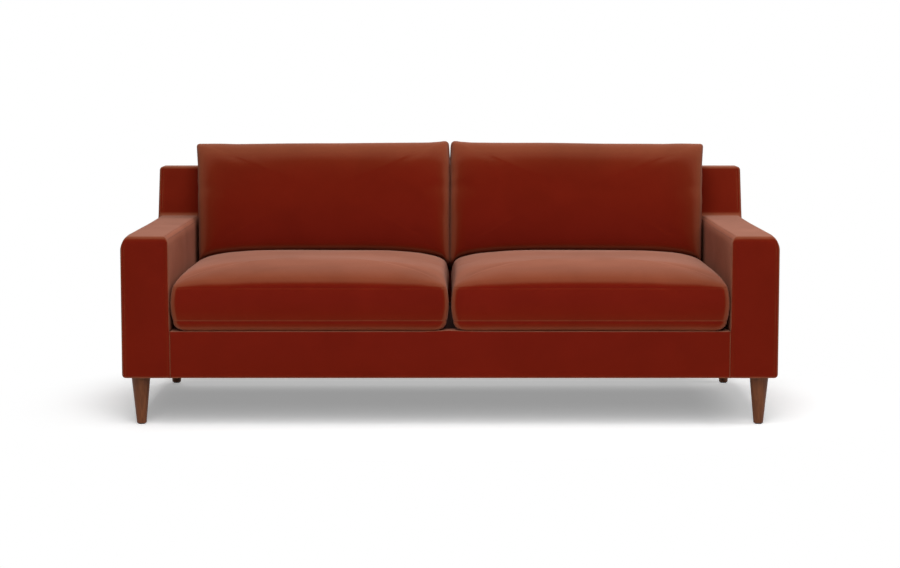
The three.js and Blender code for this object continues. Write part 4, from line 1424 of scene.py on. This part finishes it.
def make_cushions():
    place_pair("seat", SEAT, (64, 54), seat_to_world, "core", seed=1)
    seat_tree = BVHTree.FromObject(bpy.data.objects["seat_right"], bpy.context.evaluated_depsgraph_get())
    place_pair("back", BACK, (64, 36), back_to_world(seat_tree), "fill", seed=3)


# Stage: floor, world, lamps and camera

FLOOR_SIZE = 60
FLOOR_COLOUR = (0.9, 0.9, 0.9, 1)
FLOOR_SEEN = 0.31
FLOOR_FADE = (0.95, 1.4)
FLOOR_FADE_SIZE = (1.15, 0.75, 1)
WORLD_LIGHT = 0.03
# Each lamp's name, place, target, size and power
LAMPS = [
    ("front_lamp", (0.0, -4.15, 4.35), (0, 0, 0.3), (3.8, 6.0), 272),
    ("rear_lamp", (0.0, 3.5, 3.2), (0, 0, 0.8), (5.0, 2.0), 60),
    ("right_lamp", (3.5, -0.5, 3.6), (0, 0, 0.4), (2.0, 2.5), 44),
    ("top_lamp", (0.0, -0.6, 4.2), (0, 0, 0), (3.4, 3.5), 48),
]


def make_floor():
    """A pale floor that keeps the shadow near the sofa and is plain white further out."""
    bpy.ops.mesh.primitive_plane_add(size=FLOOR_SIZE)
    floor = bpy.context.object
    floor.name = "floor"
    material = bpy.data.materials.new("floor")
    nodes = Nodes(material)
    rays = nodes.background_rays()
    diffuse = nodes.first("BsdfDiffuse", {"Color": FLOOR_COLOUR})
    glow = nodes.first("Math", {0: rays, 1: FLOOR_SEEN}, operation="MULTIPLY")
    lit = nodes.first("AddShader", {0: diffuse, 1: nodes.first("Emission", {"Strength": glow})})
    place = nodes.add("TexCoord").outputs["Object"]
    place = nodes.first("VectorMath", {0: place, 1: FLOOR_FADE_SIZE}, operation="DIVIDE")
    away = nodes.add("VectorMath", {0: place}, operation="LENGTH").outputs["Value"]
    fade = {"Value": away, "From Min": FLOOR_FADE[0], "From Max": FLOOR_FADE[1]}
    fade = nodes.first("MapRange", fade, interpolation_type="SMOOTHSTEP")
    share = nodes.first("Math", {0: fade, 1: rays}, operation="MULTIPLY")
    seen = nodes.first("MixShader", {"Fac": share, 1: lit, 2: nodes.first("Emission")})
    nodes.add("OutputMaterial", {"Surface": seen})
    floor.data.materials.append(material)


def make_world():
    world = bpy.data.worlds.new("studio")
    bpy.context.scene.world = world
    nodes = Nodes(world)
    strengths = (WORLD_LIGHT, 1.0)
    light, white = (nodes.first("Background", {"Color": (*WHITE, 1), "Strength": s}) for s in strengths)
    seen = nodes.first("MixShader", {"Fac": nodes.background_rays(), 1: light, 2: white})
    nodes.add("OutputWorld", {"Surface": seen})


def make_lamps():
    for name, place, target, size, power in LAMPS:
        data = bpy.data.lights.new(name, "AREA")
        data.shape = "RECTANGLE"
        data.size, data.size_y = size
        data.energy = power
        lamp = bpy.data.objects.new(name, data)
        lamp.location = place
        lamp.rotation_euler = (Vector(target) - Vector(place)).to_track_quat("-Z", "Y").to_euler()
        bpy.context.scene.collection.objects.link(lamp)


def make_camera():
    data = bpy.data.cameras.new("camera")
    data.sensor_width = CAMERA_SENSOR_MM
    data.lens = CAMERA_LENS_MM
    camera = bpy.data.objects.new("camera", data)
    camera.location = CAMERA_PLACE
    camera.rotation_euler = (math.pi / 2 - CAMERA_PITCH, 0, 0)
    bpy.context.scene.collection.objects.link(camera)
    bpy.context.scene.camera = camera


make_camera()
dress_frame()
make_arms()
make_arm_foam()
make_front_rail()
make_inside_back()
make_rear_panel()
make_deck()
make_dust_cover()
make_legs()
make_cushions()
make_floor()
make_world()
make_lamps()
bpy.context.scene.view_settings.view_transform = "Standard"
